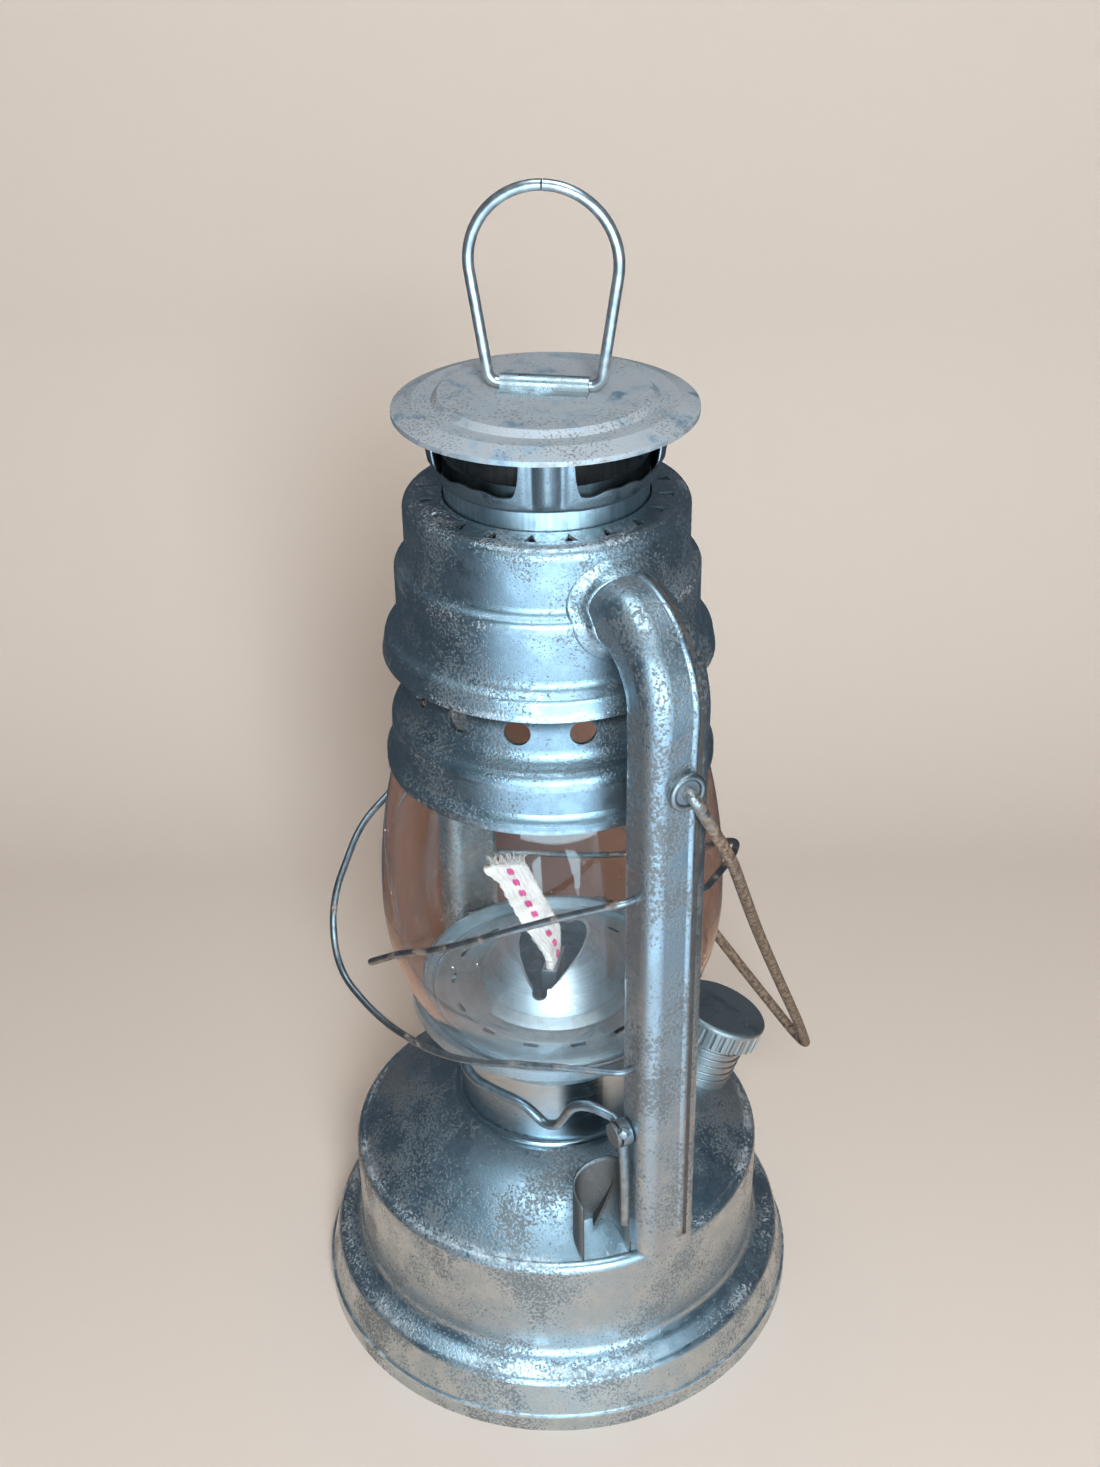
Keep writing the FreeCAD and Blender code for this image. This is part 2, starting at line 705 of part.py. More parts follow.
# each level of the strip has a height, a share of the lean and a share of the twist
wick_levels = (
    ("dim.bottom_recess + dim.wick_reach", 0.0, 0.0),
    ("%s + dim.wick_travel_down + dim.fit" % WICK_Z, 0.0, 0.0),
    ("%s + 0.28 * dim.wick_free_height" % WICK_Z, 0.16, 0.36),
    ("%s + 0.5 * dim.wick_free_height" % WICK_Z, 0.44, 0.84),
    ("%s + dim.wick_free_height" % WICK_Z, 1.0, 1.0),
)
wick_sections = []
for number, (level, lean_share, twist_share) in enumerate(wick_levels):
    section = sketch_in(wick, "wick_section_%d" % number, "XY_Plane")
    reach = size("wick_lean_reach") * lean_share
    section.AttachmentOffset = FreeCAD.Placement(
        Vector(reach * math.cos(lean), reach * math.sin(lean), value(level)),
        FreeCAD.Rotation(Z_AXIS, size("wick_twist") * twist_share),
    )
    section.setExpression("AttachmentOffset.Base.z", level)
    half_width, half_thickness = "dim.wick_width / 2", "dim.wick_thickness / 2"
    outline(section, box_outline("-" + half_width, half_width, "-" + half_thickness, half_thickness))
    wick_sections.append(section)
strip = wick.newObject("PartDesign::AdditiveLoft", "wick_strip")
strip.Profile = wick_sections[0]
strip.Sections = wick_sections[1:]
strip.Ruled = True
doc.recompute()
keep(place(wick, Vector(), burner_turn))

# Wick raiser: shaft across the burner, two spurred wheels and a notched knob outside the plate.
KNOB_X = "(%s + dim.knob_gap)" % LIP_R
INNER_END = "(dim.waist_radius + dim.sheet)"
raiser_axis = Vector(0, value(SHAFT_Y), value(SHAFT_Z))
burner_rotation = FreeCAD.Rotation(*burner_turn)


def raiser_piece(body, across):
    """Lays a turned body along the raiser's shaft, its foot at a distance along it."""
    origin = burner_rotation.multVec(raiser_axis + Vector(across, 0, 0))
    return keep(place(body, origin, burner_turn, (Y_AXIS, -90)))


SHAFT_END = "(%s + %s + dim.knob_width)" % (KNOB_X, INNER_END)
wick_shaft = turned("wick_shaft", box_outline("0", "dim.shaft_radius", "0", SHAFT_END))
raiser_piece(wick_shaft, value(INNER_END))
wheel_outline = box_outline("dim.shaft_radius + dim.fit", "dim.wheel_radius", "0", "dim.wheel_width")
for label, middle in (("wick_wheel_inner", size("wheel_offset")), ("wick_wheel_outer", -size("wheel_offset"))):
    wheel = turned(label, wheel_outline)
    tooth_gap = outline(
        sketch_in(wheel, label + "_gap", "XY_Plane"),
        [
            ("dim.wheel_radius - dim.tooth_depth", "0"),
            ("dim.wheel_radius + dim.tooth_depth", "-dim.tooth_gap"),
            ("dim.wheel_radius + dim.tooth_depth", "dim.tooth_gap"),
        ],
    )
    round_pattern(wheel, cut(wheel, tooth_gap, "2 * dim.wheel_width"), "dim.wheel_teeth")
    raiser_piece(wheel, middle + size("wheel_width") / 2)
knob = turned(
    "wick_knob",
    [
        ("dim.shaft_radius + dim.fit", "0"),
        ("dim.knob_hub_radius", "0"),
        ("dim.knob_hub_radius", "dim.knob_width / 4"),
        ("dim.knob_radius", "dim.knob_width / 4"),
        ("dim.knob_radius", "dim.knob_width"),
        ("dim.shaft_radius + dim.fit", "dim.knob_width"),
    ],
)
knob_notch = sketch_in(knob, "knob_notch", "XY_Plane")
round_hole(knob_notch, "dim.knob_radius + dim.knob_notch_radius / 2", "0", "dim.knob_notch_radius")
round_pattern(knob, cut(knob, knob_notch, "2 * dim.knob_width"), "dim.knob_notches")
raiser_piece(knob, -value(KNOB_X))

# Globe plate, perforated cone and glass.
globe_plate = shell(
    "globe_plate",
    [(WAIST_IN, PLATE_Z), (LIP_R, PLATE_Z), (LIP_R, "%s + dim.plate_lip" % SEAT_Z)],
)
keep(globe_plate)
SKIRT_EDGE = "(dim.globe_foot_radius - dim.glass - dim.cone_clearance)"
burner_cone = shell(
    "burner_cone",
    [
        (SKIRT_EDGE, "%s + dim.cone_seat" % SEAT_Z),
        ("dim.cone_dome_radius + dim.cone_foot_spread", "%s + dim.cone_skirt_rise" % SEAT_Z),
        ("dim.cone_dome_radius", "%s + dim.cone_foot_rise" % SEAT_Z),
        ("0", "%s + dim.cone_height" % SEAT_Z, "dim.cone_dome_bend", -1),
    ],
)
NOTCH_TOP = "(%s + dim.notch_depth + dim.sheet)" % NOTCH_Z
NOTCH_HALF = "(dim.notch_foot + dim.notch_slope * (dim.notch_depth + dim.sheet))"
notch = outline(
    sketch_in(burner_cone, "notch", "YZ_Plane"),
    [
        ("-dim.notch_foot", NOTCH_Z),
        ("dim.notch_foot", NOTCH_Z),
        (NOTCH_HALF, NOTCH_TOP),
        ("-" + NOTCH_HALF, NOTCH_TOP),
    ],
)
cut(burner_cone, notch, "4 * dim.cone_dome_radius", both_ways=True)
notch_hole = sketch_in(burner_cone, "notch_hole", "YZ_Plane")
round_hole(notch_hole, "0", NOTCH_Z, "dim.notch_hole_radius")
cut(burner_cone, notch_hole, "4 * dim.cone_dome_radius", both_ways=True)
SLIT_R = "((dim.cone_dome_radius + dim.cone_foot_spread + %s) / 2)" % SKIRT_EDGE
slit = outline(
    sketch_in(burner_cone, "slit", "XY_Plane"),
    box_outline(
        "%s - dim.slit_width / 2" % SLIT_R,
        "%s + dim.slit_width / 2" % SLIT_R,
        "-dim.slit_length / 2",
        "dim.slit_length / 2",
    ),
)
round_pattern(burner_cone, cut(burner_cone, slit, "2 * %s" % SEAT_Z), "dim.slits")
keep(place(burner_cone, Vector(), burner_turn))

LOW_SWELL = "(dim.globe_radius - dim.globe_foot_radius)"
HIGH_SWELL = "(dim.globe_radius - dim.globe_top_radius)"
HIGH_RUN = "(dim.globe_height - dim.globe_neck - dim.globe_belly)"
keep(
    shell(
        "glass_globe",
        [
            ("dim.globe_foot_radius", SEAT_Z),
            (
                "dim.globe_radius",
                "%s + dim.globe_belly" % SEAT_Z,
                "(%s ^ 2 + dim.globe_belly ^ 2) / (2 * %s)" % (LOW_SWELL, LOW_SWELL),
                -1,
            ),
            (
                "dim.globe_top_radius",
                "%s - dim.globe_neck" % GLOBE_Z,
                "(%s ^ 2 + %s ^ 2) / (2 * %s)" % (HIGH_SWELL, HIGH_RUN, HIGH_SWELL),
                -1,
            ),
            ("dim.globe_top_radius", GLOBE_Z),
        ],
        "dim.glass",
    )
)

# Bell: upper globe holder, with round holes in its neck.
RIM_Z = "(%s - dim.bell_drum_height)" % STEP_Z
bell = shell(
    "bell",
    [
        ("%s + dim.bell_rim" % DRUM_R, RIM_Z),
        ("%s + dim.bell_rim" % DRUM_R, "%s + dim.bell_rim_height" % RIM_Z),
        (DRUM_R, "%s + 2 * dim.bell_rim_height" % RIM_Z, "dim.bell_rim_bend", 1),
        *pressed_step(
            DRUM_R,
            "(%s - dim.bell_shoulder_drop)" % STEP_Z,
            "0",
            "dim.bell_slope",
            "dim.bell_shoulder_round",
            "dim.bell_cove",
            NECK_R,
        ),
        (NECK_R, "%s - dim.bell_top_round" % BELL_TOP_Z),
        ("%s - dim.bell_top_round" % NECK_R, BELL_TOP_Z, "dim.bell_top_round", -1),
        ("dim.chimney_radius + dim.fit", BELL_TOP_Z),
    ],
)
bell_hole = sketch_in(bell, "bell_hole", "XZ_Plane")
round_hole(bell_hole, "0", "%s + dim.bell_hole_rise" % STEP_Z, "dim.bell_hole_radius")
round_pattern(bell, cut(bell, bell_hole, "2 * %s" % NECK_R), "dim.bell_holes")
keep(place(bell, Vector(), (Z_AXIS, size("crown_turn"))))

# Hood: stepped shell with a rim, punched vents in its top and holes for the side tubes.
hood_shell = shell(
    "hood_shell",
    [
        ("%s + dim.hood_rim" % HOOD_R, HOOD_Z),
        *pressed_step(
            "(%s + dim.hood_rim - dim.hood_skirt * tan(dim.hood_skirt_lean))" % HOOD_R,
            "(%s + dim.hood_skirt)" % HOOD_Z,
            "dim.hood_skirt_lean",
            "dim.hood_slope",
            "dim.hood_skirt_round",
            "dim.hood_fillet",
            HOOD_R,
        ),
        *pressed_step(
            HOOD_R,
            "(%s + dim.hood_step)" % HOOD_Z,
            "0",
            "dim.hood_slope",
            "dim.hood_step_round",
            "dim.hood_step_fillet",
            HOOD_TOP_R,
        ),
        (HOOD_TOP_R, "%s - dim.hood_round" % HOOD_TOP_Z),
        ("%s - dim.hood_round" % HOOD_TOP_R, HOOD_TOP_Z, "dim.hood_round", -1),
        ("dim.chimney_radius + dim.slide_clearance", HOOD_TOP_Z),
    ],
)
VENT_R = "((dim.chimney_radius + dim.slide_clearance + %s - dim.hood_round) / 2)" % HOOD_TOP_R
vent = outline(
    sketch_in(hood_shell, "vent", "XY_Plane"),
    [
        ("%s - dim.vent_length / 2" % VENT_R, "0"),
        ("%s + dim.vent_length / 2" % VENT_R, "-dim.vent_width / 2"),
        ("%s + dim.vent_length / 2" % VENT_R, "dim.vent_width / 2"),
    ],
)
round_pattern(hood_shell, cut(hood_shell, vent, "2 * %s" % HOOD_TOP_Z), "dim.vents")
tube_hole = outline(
    sketch_in(hood_shell, "tube_hole", "YZ_Plane"),
    rounded_box(
        "dim.elbow_width / 2 + dim.fit", "dim.elbow_depth / 2 + dim.fit", "dim.elbow_corner + dim.fit", ELBOW_Z
    ),
)
cut(hood_shell, tube_hole, "4 * %s" % HOOD_R, both_ways=True)
keep(hood_shell)

# Chimney tube, slotted crown and cap.
CHIMNEY_IN = "(dim.chimney_radius - dim.sheet)"
keep(
    turned(
        "chimney_tube",
        box_outline(
            CHIMNEY_IN,
            "dim.chimney_radius",
            "%s - dim.chimney_inset" % BELL_TOP_Z,
            "%s + dim.chimney_lap" % CROWN_Z,
        ),
    )
)
CROWN_FOOT_R = "(dim.chimney_radius + dim.fit + dim.sheet)"
crown = shell(
    "crown",
    [
        (CROWN_FOOT_R, CROWN_Z),
        (CROWN_FOOT_R, "%s + dim.crown_foot" % CROWN_Z),
        ("dim.crown_radius", "%s + dim.crown_foot + dim.crown_flare" % CROWN_Z),
        ("dim.crown_radius", CAP_Z),
    ],
)
SLOT_HALF = "dim.crown_slot_width / 2"
SLOT_LOW = "(%s + dim.crown_slot_rise)" % CROWN_Z
SLOT_HIGH = "%s + dim.sheet" % CAP_Z
crown_slot = outline(
    sketch_in(crown, "crown_slot", "XZ_Plane"),
    [
        ("-(%s)" % SLOT_HALF, SLOT_HIGH),
        ("-(%s)" % SLOT_HALF, "%s + dim.crown_slot_round" % SLOT_LOW),
        ("-(%s - dim.crown_slot_round)" % SLOT_HALF, SLOT_LOW, "dim.crown_slot_round", -1),
        ("%s - dim.crown_slot_round" % SLOT_HALF, SLOT_LOW),
        (SLOT_HALF, "%s + dim.crown_slot_round" % SLOT_LOW, "dim.crown_slot_round", -1),
        (SLOT_HALF, SLOT_HIGH),
    ],
)
round_pattern(crown, cut(crown, crown_slot, "2 * dim.crown_radius"), "dim.crown_slots")
COLUMN_SIDE = "((dim.chimney_radius + dim.slide_clearance + dim.column_reach) * cos(45))"
COLUMN_Z = "(%s - dim.column_nub)" % CROWN_Z
column = sketch_in(crown, "column", "XY_Plane", COLUMN_Z)
round_hole(column, COLUMN_SIDE, COLUMN_SIDE, "dim.column_bead")
column_pad = crown.newObject("PartDesign::Pad", "column_pad")
column_pad.Profile = column
column_pad.setExpression("Length", "%s - %s" % (CAP_Z, COLUMN_Z))
doc.recompute()
round_pattern(crown, column_pad, "dim.crown_slots")
keep(place(crown, Vector(), (Z_AXIS, size("crown_turn") - 45)))
CAP_RIM_Z = "(%s + dim.sheet - dim.cap_drop)" % CAP_Z
keep(
    shell(
        "cap",
        [
            ("dim.cap_radius", "%s - dim.cap_lip" % CAP_RIM_Z),
            ("dim.cap_radius", CAP_RIM_Z),
            ("dim.cap_flat", "%s + dim.sheet" % CAP_Z),
            ("dim.cap_ring + dim.cap_rise", "%s + dim.sheet" % CAP_Z),
            ("dim.cap_ring", CAP_TOP_Z),
            ("0", CAP_TOP_Z),
        ],
    )
)

# Spring between the bell and the hood's top.
SPRING_LOW = "(%s + dim.spring_wire / 2 + dim.seat_gap)" % BELL_TOP_Z
SPRING_HIGH = "(%s - dim.sheet - dim.spring_wire / 2 - dim.seat_gap)" % HOOD_TOP_Z
SPRING_PIECE_TURNS = 1
spring_line = doc.addObject("Part::Helix", "spring_line")
spring_line.setExpression("Radius", "dim.spring_radius")
spring_line.setExpression("Height", "%s - %s" % (SPRING_HIGH, SPRING_LOW))
spring_line.setExpression("Pitch", "(%s - %s) / dim.spring_turns" % (SPRING_HIGH, SPRING_LOW))
spring_line.setExpression("Placement.Base.z", SPRING_LOW)
spring_line.SegmentLength = SPRING_PIECE_TURNS
spring_section = doc.addObject("Part::Circle", "spring_section")
spring_section.setExpression("Radius", "dim.spring_wire / 2")
spring_section.Placement = FreeCAD.Placement(
    Vector(size("spring_radius"), 0, value(SPRING_LOW)), FreeCAD.Rotation(X_AXIS, 90)
)
chimney_spring = doc.addObject("Part::Sweep", "chimney_spring")
chimney_spring.Sections = [spring_section]
doc.recompute()
chimney_spring.Spine = (spring_line, ["Edge%d" % (k + 1) for k in range(len(spring_line.Shape.Edges))])
chimney_spring.Solid = True
chimney_spring.Frenet = True
keep(chimney_spring)

# Strap on the cap: a folded sheet with a round tunnel for the ring.
TUNNEL = "(dim.ring_wire / 2 + dim.ring_play)"
ARCH = "(%s + dim.strap_sheet)" % TUNNEL
STRAP_HALF = "dim.strap_width / 2"
STRAP_FOOT = "%s + dim.strap_sheet" % CAP_TOP_Z
strap = padded(
    "ring_strap",
    "YZ_Plane",
    [
        ("-" + STRAP_HALF, CAP_TOP_Z),
        ("-" + TUNNEL, CAP_TOP_Z),
        ("-" + TUNNEL, RING_Z),
        ("0", "%s + %s" % (RING_Z, TUNNEL), TUNNEL, 1),
        (TUNNEL, RING_Z, TUNNEL, 1),
        (TUNNEL, CAP_TOP_Z),
        (STRAP_HALF, CAP_TOP_Z),
        (STRAP_HALF, STRAP_FOOT),
        (ARCH, STRAP_FOOT),
        (ARCH, RING_Z),
        ("0", "%s + %s" % (RING_Z, ARCH), ARCH, -1),
        ("-" + ARCH, RING_Z, ARCH, -1),
        ("-" + ARCH, STRAP_FOOT),
        ("-" + STRAP_HALF, STRAP_FOOT),
    ],
    "dim.strap_length",
)
keep(place(strap, Vector(), (Z_AXIS, size("ring_turn"))))

# Side tubes: hollow, round at the elbow into the hood, flattened below it, with a rounded foot cut to the dome.
TUBE_HALF = "dim.tube_width / 2"
DEPTH_HALF = "dim.tube_depth / 2"
ELBOW_R = "(%s - %s - dim.elbow_straight)" % (TUBE_R, TUBE_END)
JOIN_Z = "(%s + dim.eyelet_radius + dim.seat_gap)" % EYELET_Z
TUBE_FOOT = "(%s + dim.shoulder_round / 4)" % SHOULDER_Z
ELBOW_LINE = [
    (TUBE_END, ELBOW_Z),
    ("%s + dim.elbow_straight" % TUBE_END, ELBOW_Z),
    (TUBE_R, "%s - %s" % (ELBOW_Z, ELBOW_R), ELBOW_R, 1),
    (TUBE_R, JOIN_Z),
]
tank_form = turned(
    "tank_form",
    offset_line(TANK_LINE, "-dim.foot_gap") + [("0", "%s + dim.foot_gap" % DOME_Z), ("0", "0")],
)


def swapped(vertices):
    """The same outline with its two axes exchanged."""
    return [vertex[1::-1] + ((vertex[2], -vertex[3]) if len(vertex) > 2 else ()) for vertex in vertices]


def tube_form(body, kind, name, wall, foot):
    """Elbow and flattened leg of a side tube, made smaller by a wall, added to the body or taken out of it."""
    mouth = outline(
        sketch_in(body, name + "_mouth", "YZ_Plane", TUBE_END),
        rounded_box(
            "(dim.elbow_width / 2 - %s)" % wall,
            "(dim.elbow_depth / 2 - %s)" % wall,
            "(dim.elbow_corner - %s)" % wall,
            ELBOW_Z,
        ),
    )
    flat = rounded_box(
        "(%s - %s)" % (TUBE_HALF, wall),
        "(%s - %s)" % (DEPTH_HALF, wall),
        "(dim.tube_corner - %s)" % wall,
        TUBE_R,
    )
    join = outline(sketch_in(body, name + "_join", "XY_Plane", JOIN_Z), swapped(flat))
    line = outline(sketch_in(body, name + "_line", "XZ_Plane"), ELBOW_LINE, closed=False)
    doc.recompute()
    elbow = body.newObject("PartDesign::%sPipe" % kind, name + "_elbow")
    elbow.Profile = mouth
    elbow.Spine = (line, ["Edge%d" % (k + 1) for k in range(len(ELBOW_LINE) - 1)])
    elbow.Transformation = "Multisection"
    elbow.Sections = [join]
    doc.recompute()
    leg = body.newObject("PartDesign::Pad" if kind == "Additive" else "PartDesign::Pocket", name + "_leg")
    leg.Profile = outline(sketch_in(body, name + "_leg_section", "XY_Plane", JOIN_Z), swapped(flat))
    leg.Reversed = kind == "Additive"
    leg.setExpression("Length", "%s - (%s)" % (JOIN_Z, foot))
    doc.recompute()


def side_tube(label, turn):
    body = new_body(label + "_blank")
    floor = "%s + dim.tube_foot_round" % TUBE_FOOT
    tube_form(body, "Additive", label + "_outside", "0", TUBE_FOOT)
    tube_form(body, "Subtractive", label + "_inside", "dim.tube_wall", floor)
    corners = sketch_in(body, label + "_corners", "YZ_Plane")
    below = "%s - dim.sheet" % TUBE_FOOT
    for side, bulge in (("", -1), ("-", 1)):
        edge = "%s(%s)" % (side, TUBE_HALF)
        beyond = "%s(%s + dim.sheet)" % (side, TUBE_HALF)
        inward = "%s(%s - %s)" % (side, TUBE_HALF, "dim.tube_foot_round")
        rise = "%s + %s" % (TUBE_FOOT, "dim.tube_foot_round")
        bend = (inward, TUBE_FOOT, "dim.tube_foot_round", -bulge)
        outline(corners, [(beyond, below), (beyond, rise), (edge, rise), bend, (inward, below)])
    cut(body, corners, "4 * %s" % TUBE_R, both_ways=True)
    bail_hole = round_hole(
        sketch_in(body, label + "_bail_hole", "YZ_Plane", TUBE_R),
        "0",
        EYELET_Z,
        "dim.bail_wire / 2 + dim.bail_hole",
    )
    cut(body, bail_hole, "dim.tube_depth")
    place(body, Vector(), (Z_AXIS, turn))
    tube = doc.addObject("Part::Cut", label)
    tube.Base = body
    tube.Tool = tank_form
    return keep(tube)


# Boots: sheet funnels that open from the tubes' inner faces down to the dome.
TUBE_BACK = "(%s - %s - dim.fit)" % (TUBE_R, DEPTH_HALF)
BOOT_Z = "(%s + dim.dome_rise / 2)" % SHOULDER_Z
BOOT_SECTIONS = [
    ("dim.boot_foot_half", "dim.boot_foot_reach", BOOT_Z),
    ("dim.boot_waist_half", "dim.boot_waist_reach", "%s + dim.boot_waist_rise" % BOOT_Z),
    ("dim.boot_top_half", "dim.boot_top_reach", "%s + dim.boot_height" % BOOT_Z),
]


def boot_loft(body, kind, name, wall):
    """Lofts round-backed sections, made smaller by a wall, from the dome up to the tube's face."""
    sections = []
    for k, (half, reach, up) in enumerate(BOOT_SECTIONS):
        half = "(%s - %s)" % (half, wall)
        reach = "(%s - %s)" % (reach, wall)
        bend = "((%s * %s + %s * %s) / (2 * %s))" % (half, half, reach, reach, reach)
        section = sketch_in(body, "%s_%d" % (name, k), "XY_Plane", up)
        back = "%s - %s" % (TUBE_BACK, reach)
        outline(section, [(TUBE_BACK, "-" + half, bend, -1), (TUBE_BACK, half), (back, "0", bend, -1)])
        sections.append(section)
    loft = body.newObject(kind, name)
    loft.Profile = sections[0]
    loft.Sections = sections[1:]
    doc.recompute()


def boot(label, turn):
    body = new_body(label + "_blank")
    boot_loft(body, "PartDesign::AdditiveLoft", label + "_outside", "0")
    boot_loft(body, "PartDesign::SubtractiveLoft", label + "_inside", "dim.sheet")
    hole = sketch_in(body, label + "_hole", "YZ_Plane")
    round_hole(hole, "0", "%s + dim.boot_hole_rise" % BOOT_Z, "dim.boot_hole_radius")
    cut(body, hole, TUBE_R)
    place(body, Vector(), (Z_AXIS, turn))
    piece = doc.addObject("Part::Cut", label)
    piece.Base = body
    piece.Tool = tank_form
    return keep(piece)


def eyelet(label, turn):
    ring = turned(
        label,
        box_outline(
            "dim.bail_wire / 2 + dim.fit", "dim.eyelet_radius", "dim.fit", "dim.fit + dim.eyelet_width"
        ),
    )
    face = FreeCAD.Rotation(Z_AXIS, turn).multVec(Vector(value(TUBE_FACE), 0, value(EYELET_Z)))
    return keep(place(ring, face, (Z_AXIS, turn), (Y_AXIS, 90)))


for hand, turn in (("right", 0), ("left", 180)):
    side_tube(hand + "_tube", turn)
    boot(hand + "_boot", turn)
    eyelet(hand + "_eyelet", turn)


def point(across, along, up):
    """A point whose three coordinates are expressions over the sheet."""
    return Vector(value(across), value(along), value(up))


def polar(angle, radius, up):
    """A point at an angle round the lantern's axis."""
    turn = math.radians(value(angle))
    return Vector(value(radius) * math.cos(turn), value(radius) * math.sin(turn), value(up))


ARC_SHARE = 0.45


def bent_edges(corners, bends=None):
    """Straight runs joined by tangent arcs, each as large as its runs or its own bend allow."""
    edges = []
    start = corners[0]
    for k in range(1, len(corners) - 1):
        back = corners[k - 1] - corners[k]
        ahead = corners[k + 1] - corners[k]
        half_turn = (math.pi - back.getAngle(ahead)) / 2
        setback = ARC_SHARE * min(back.Length, ahead.Length)
        if bends and k in bends:
            setback = min(setback, bends[k] * math.tan(half_turn))
        radius = setback / math.tan(half_turn)
        back.normalize()
        ahead.normalize()
        inward = back + ahead
        inward.normalize()
        first = corners[k] + back * setback
        last = corners[k] + ahead * setback
        middle = corners[k] + inward * (radius / math.cos(half_turn) - radius)
        edges.append(Part.LineSegment(start, first))
        edges.append(Part.Arc(first, middle, last))
        start = last
    edges.append(Part.LineSegment(start, corners[-1]))
    return edges


def swept_wire(label, edges, radius):
    """Round wire along joined edges."""
    path = doc.addObject("Part::Feature", label + "_path")
    path.Shape = Part.Wire([edge.toShape() for edge in edges])
    first = path.Shape.Edges[0]
    section = doc.addObject("Part::Circle", label + "_section")
    section.setExpression("Radius", radius)
    section.Placement = FreeCAD.Placement(
        edges[0].StartPoint, FreeCAD.Rotation(Z_AXIS, edges[0].EndPoint - edges[0].StartPoint)
    )
    if len(edges) > 1 and isinstance(edges[0], Part.Arc):
        section.Placement.Rotation = FreeCAD.Rotation(Z_AXIS, first.tangentAt(first.FirstParameter))
    doc.recompute()
    sweep = doc.addObject("Part::Sweep", label)
    sweep.Sections = [section]
    sweep.Spine = (path, ["Edge%d" % (k + 1) for k in range(len(path.Shape.Edges))])
    sweep.Solid = True
    sweep.Frenet = False
    doc.recompute()
    ideal = math.pi * value(radius) ** 2 * path.Shape.Length
    if abs(sweep.Shape.Volume - ideal) > 0.03 * ideal:
        raise RuntimeError("%s: volume %.1f, expected %.1f" % (label, sweep.Shape.Volume, ideal))
    return sweep


# Ring: a bar through the strap, two legs and a loop that closes with a butt at its top.
RING_R = "((dim.ring_width - dim.ring_wire) / 2)"
LOOP_UP = "(dim.ring_height - dim.ring_wire / 2 - %s)" % RING_R
ring_way = FreeCAD.Rotation(Z_AXIS, size("ring_turn")).multVec(X_AXIS)


def ring_point(across, up):
    return ring_way * across + Vector(0, 0, value(RING_Z) + up)


loop_radius = value(RING_R)
loop_up = value(LOOP_UP)
leg_half = size("ring_leg_span") / 2
leg_reach = math.hypot(leg_half, loop_up)
leg_slope = math.atan2(loop_up, -leg_half) - math.asin(loop_radius / leg_reach)
touch_angle = leg_slope - math.pi / 2
butt_angle = math.pi / 2 - size("ring_butt") / loop_radius / 2


def loop_point(angle, side):
    return ring_point(side * loop_radius * math.cos(angle), loop_up + loop_radius * math.sin(angle))


loop_middle = (touch_angle + butt_angle) / 2
ring_legs = bent_edges(
    [
        loop_point(touch_angle, 1),
        ring_point(leg_half, 0),
        ring_point(-leg_half, 0),
        loop_point(touch_angle, -1),
    ],
    {1: size("ring_bend"), 2: size("ring_bend")},
)
right_loop = Part.Arc(loop_point(butt_angle, 1), loop_point(loop_middle, 1), loop_point(touch_angle, 1))
left_loop = Part.Arc(loop_point(touch_angle, -1), loop_point(loop_middle, -1), loop_point(butt_angle, -1))
keep(swept_wire("ring_handle", [right_loop] + ring_legs + [left_loop], "dim.ring_wire / 2"))

# Bail: hooked into both eyelets and hanging to the filler's side.
BAIL_OUT = "(%s + dim.eyelet_width + dim.bail_stand)" % TUBE_FACE
BAIL_LINE = [
    ("%s - dim.bail_inset" % TUBE_FACE, "0"),
    (BAIL_OUT, "0"),
    ("%s - dim.bail_knee_inset" % BAIL_OUT, "dim.bail_knee_drop"),
    ("%s - dim.bail_high_inset" % BAIL_OUT, "dim.bail_high_drop"),
    ("dim.bail_middle_share * %s" % BAIL_OUT, "dim.bail_middle_drop"),
    ("dim.bail_low_share * %s" % BAIL_OUT, "dim.bail_low_drop"),
    ("dim.bail_neck_share * %s" % BAIL_OUT, "dim.bail_neck_drop"),
    ("0", "dim.bail_length"),
]


def bail_point(half, drop, side):
    """A point of the bail at rest, given its half width and its distance from the eyelets."""
    return point(
        "(%d) * (%s)" % (side, half),
        "(%s) * sin(dim.bail_rest)" % drop,
        "%s - (%s) * cos(dim.bail_rest)" % (EYELET_Z, drop),
    )


bail_corners = [bail_point(half, drop, 1) for half, drop in BAIL_LINE]
bail_corners += [bail_point(half, drop, -1) for half, drop in reversed(BAIL_LINE[:-1])]
bail_bends = {
    1: size("bail_bend"),
    len(BAIL_LINE) - 1: size("bail_tip_bend"),
    len(bail_corners) - 2: size("bail_bend"),
}
keep(swept_wire("bail", bent_edges(bail_corners, bail_bends), "dim.bail_wire / 2"))

# Filler: slanted neck, cork disc and fluted screw cap.
NECK_IN = "dim.neck_radius - dim.neck_wall"
filler_neck = turned(
    "filler_neck", box_outline(NECK_IN, "dim.neck_radius", "-dim.filler_sink", "dim.neck_height")
)
keep(place(filler_neck, filler_foot, *filler_turns))
CORK_Z = "(dim.neck_height + dim.fit)"
CORK_TOP = "(%s + dim.gasket)" % CORK_Z
filler_gasket = turned("filler_gasket", box_outline("0", "dim.neck_radius", CORK_Z, CORK_TOP))
keep(place(filler_gasket, filler_foot, *filler_turns))
FILLER_IN = "(dim.neck_radius + dim.filler_thread_gap)"
FILLER_UNDER = "(%s + dim.fit)" % CORK_TOP
FILLER_TOP = "(%s + dim.filler_cap_top)" % FILLER_UNDER
FILLER_LOW = "(%s - dim.filler_cap_skirt)" % FILLER_TOP
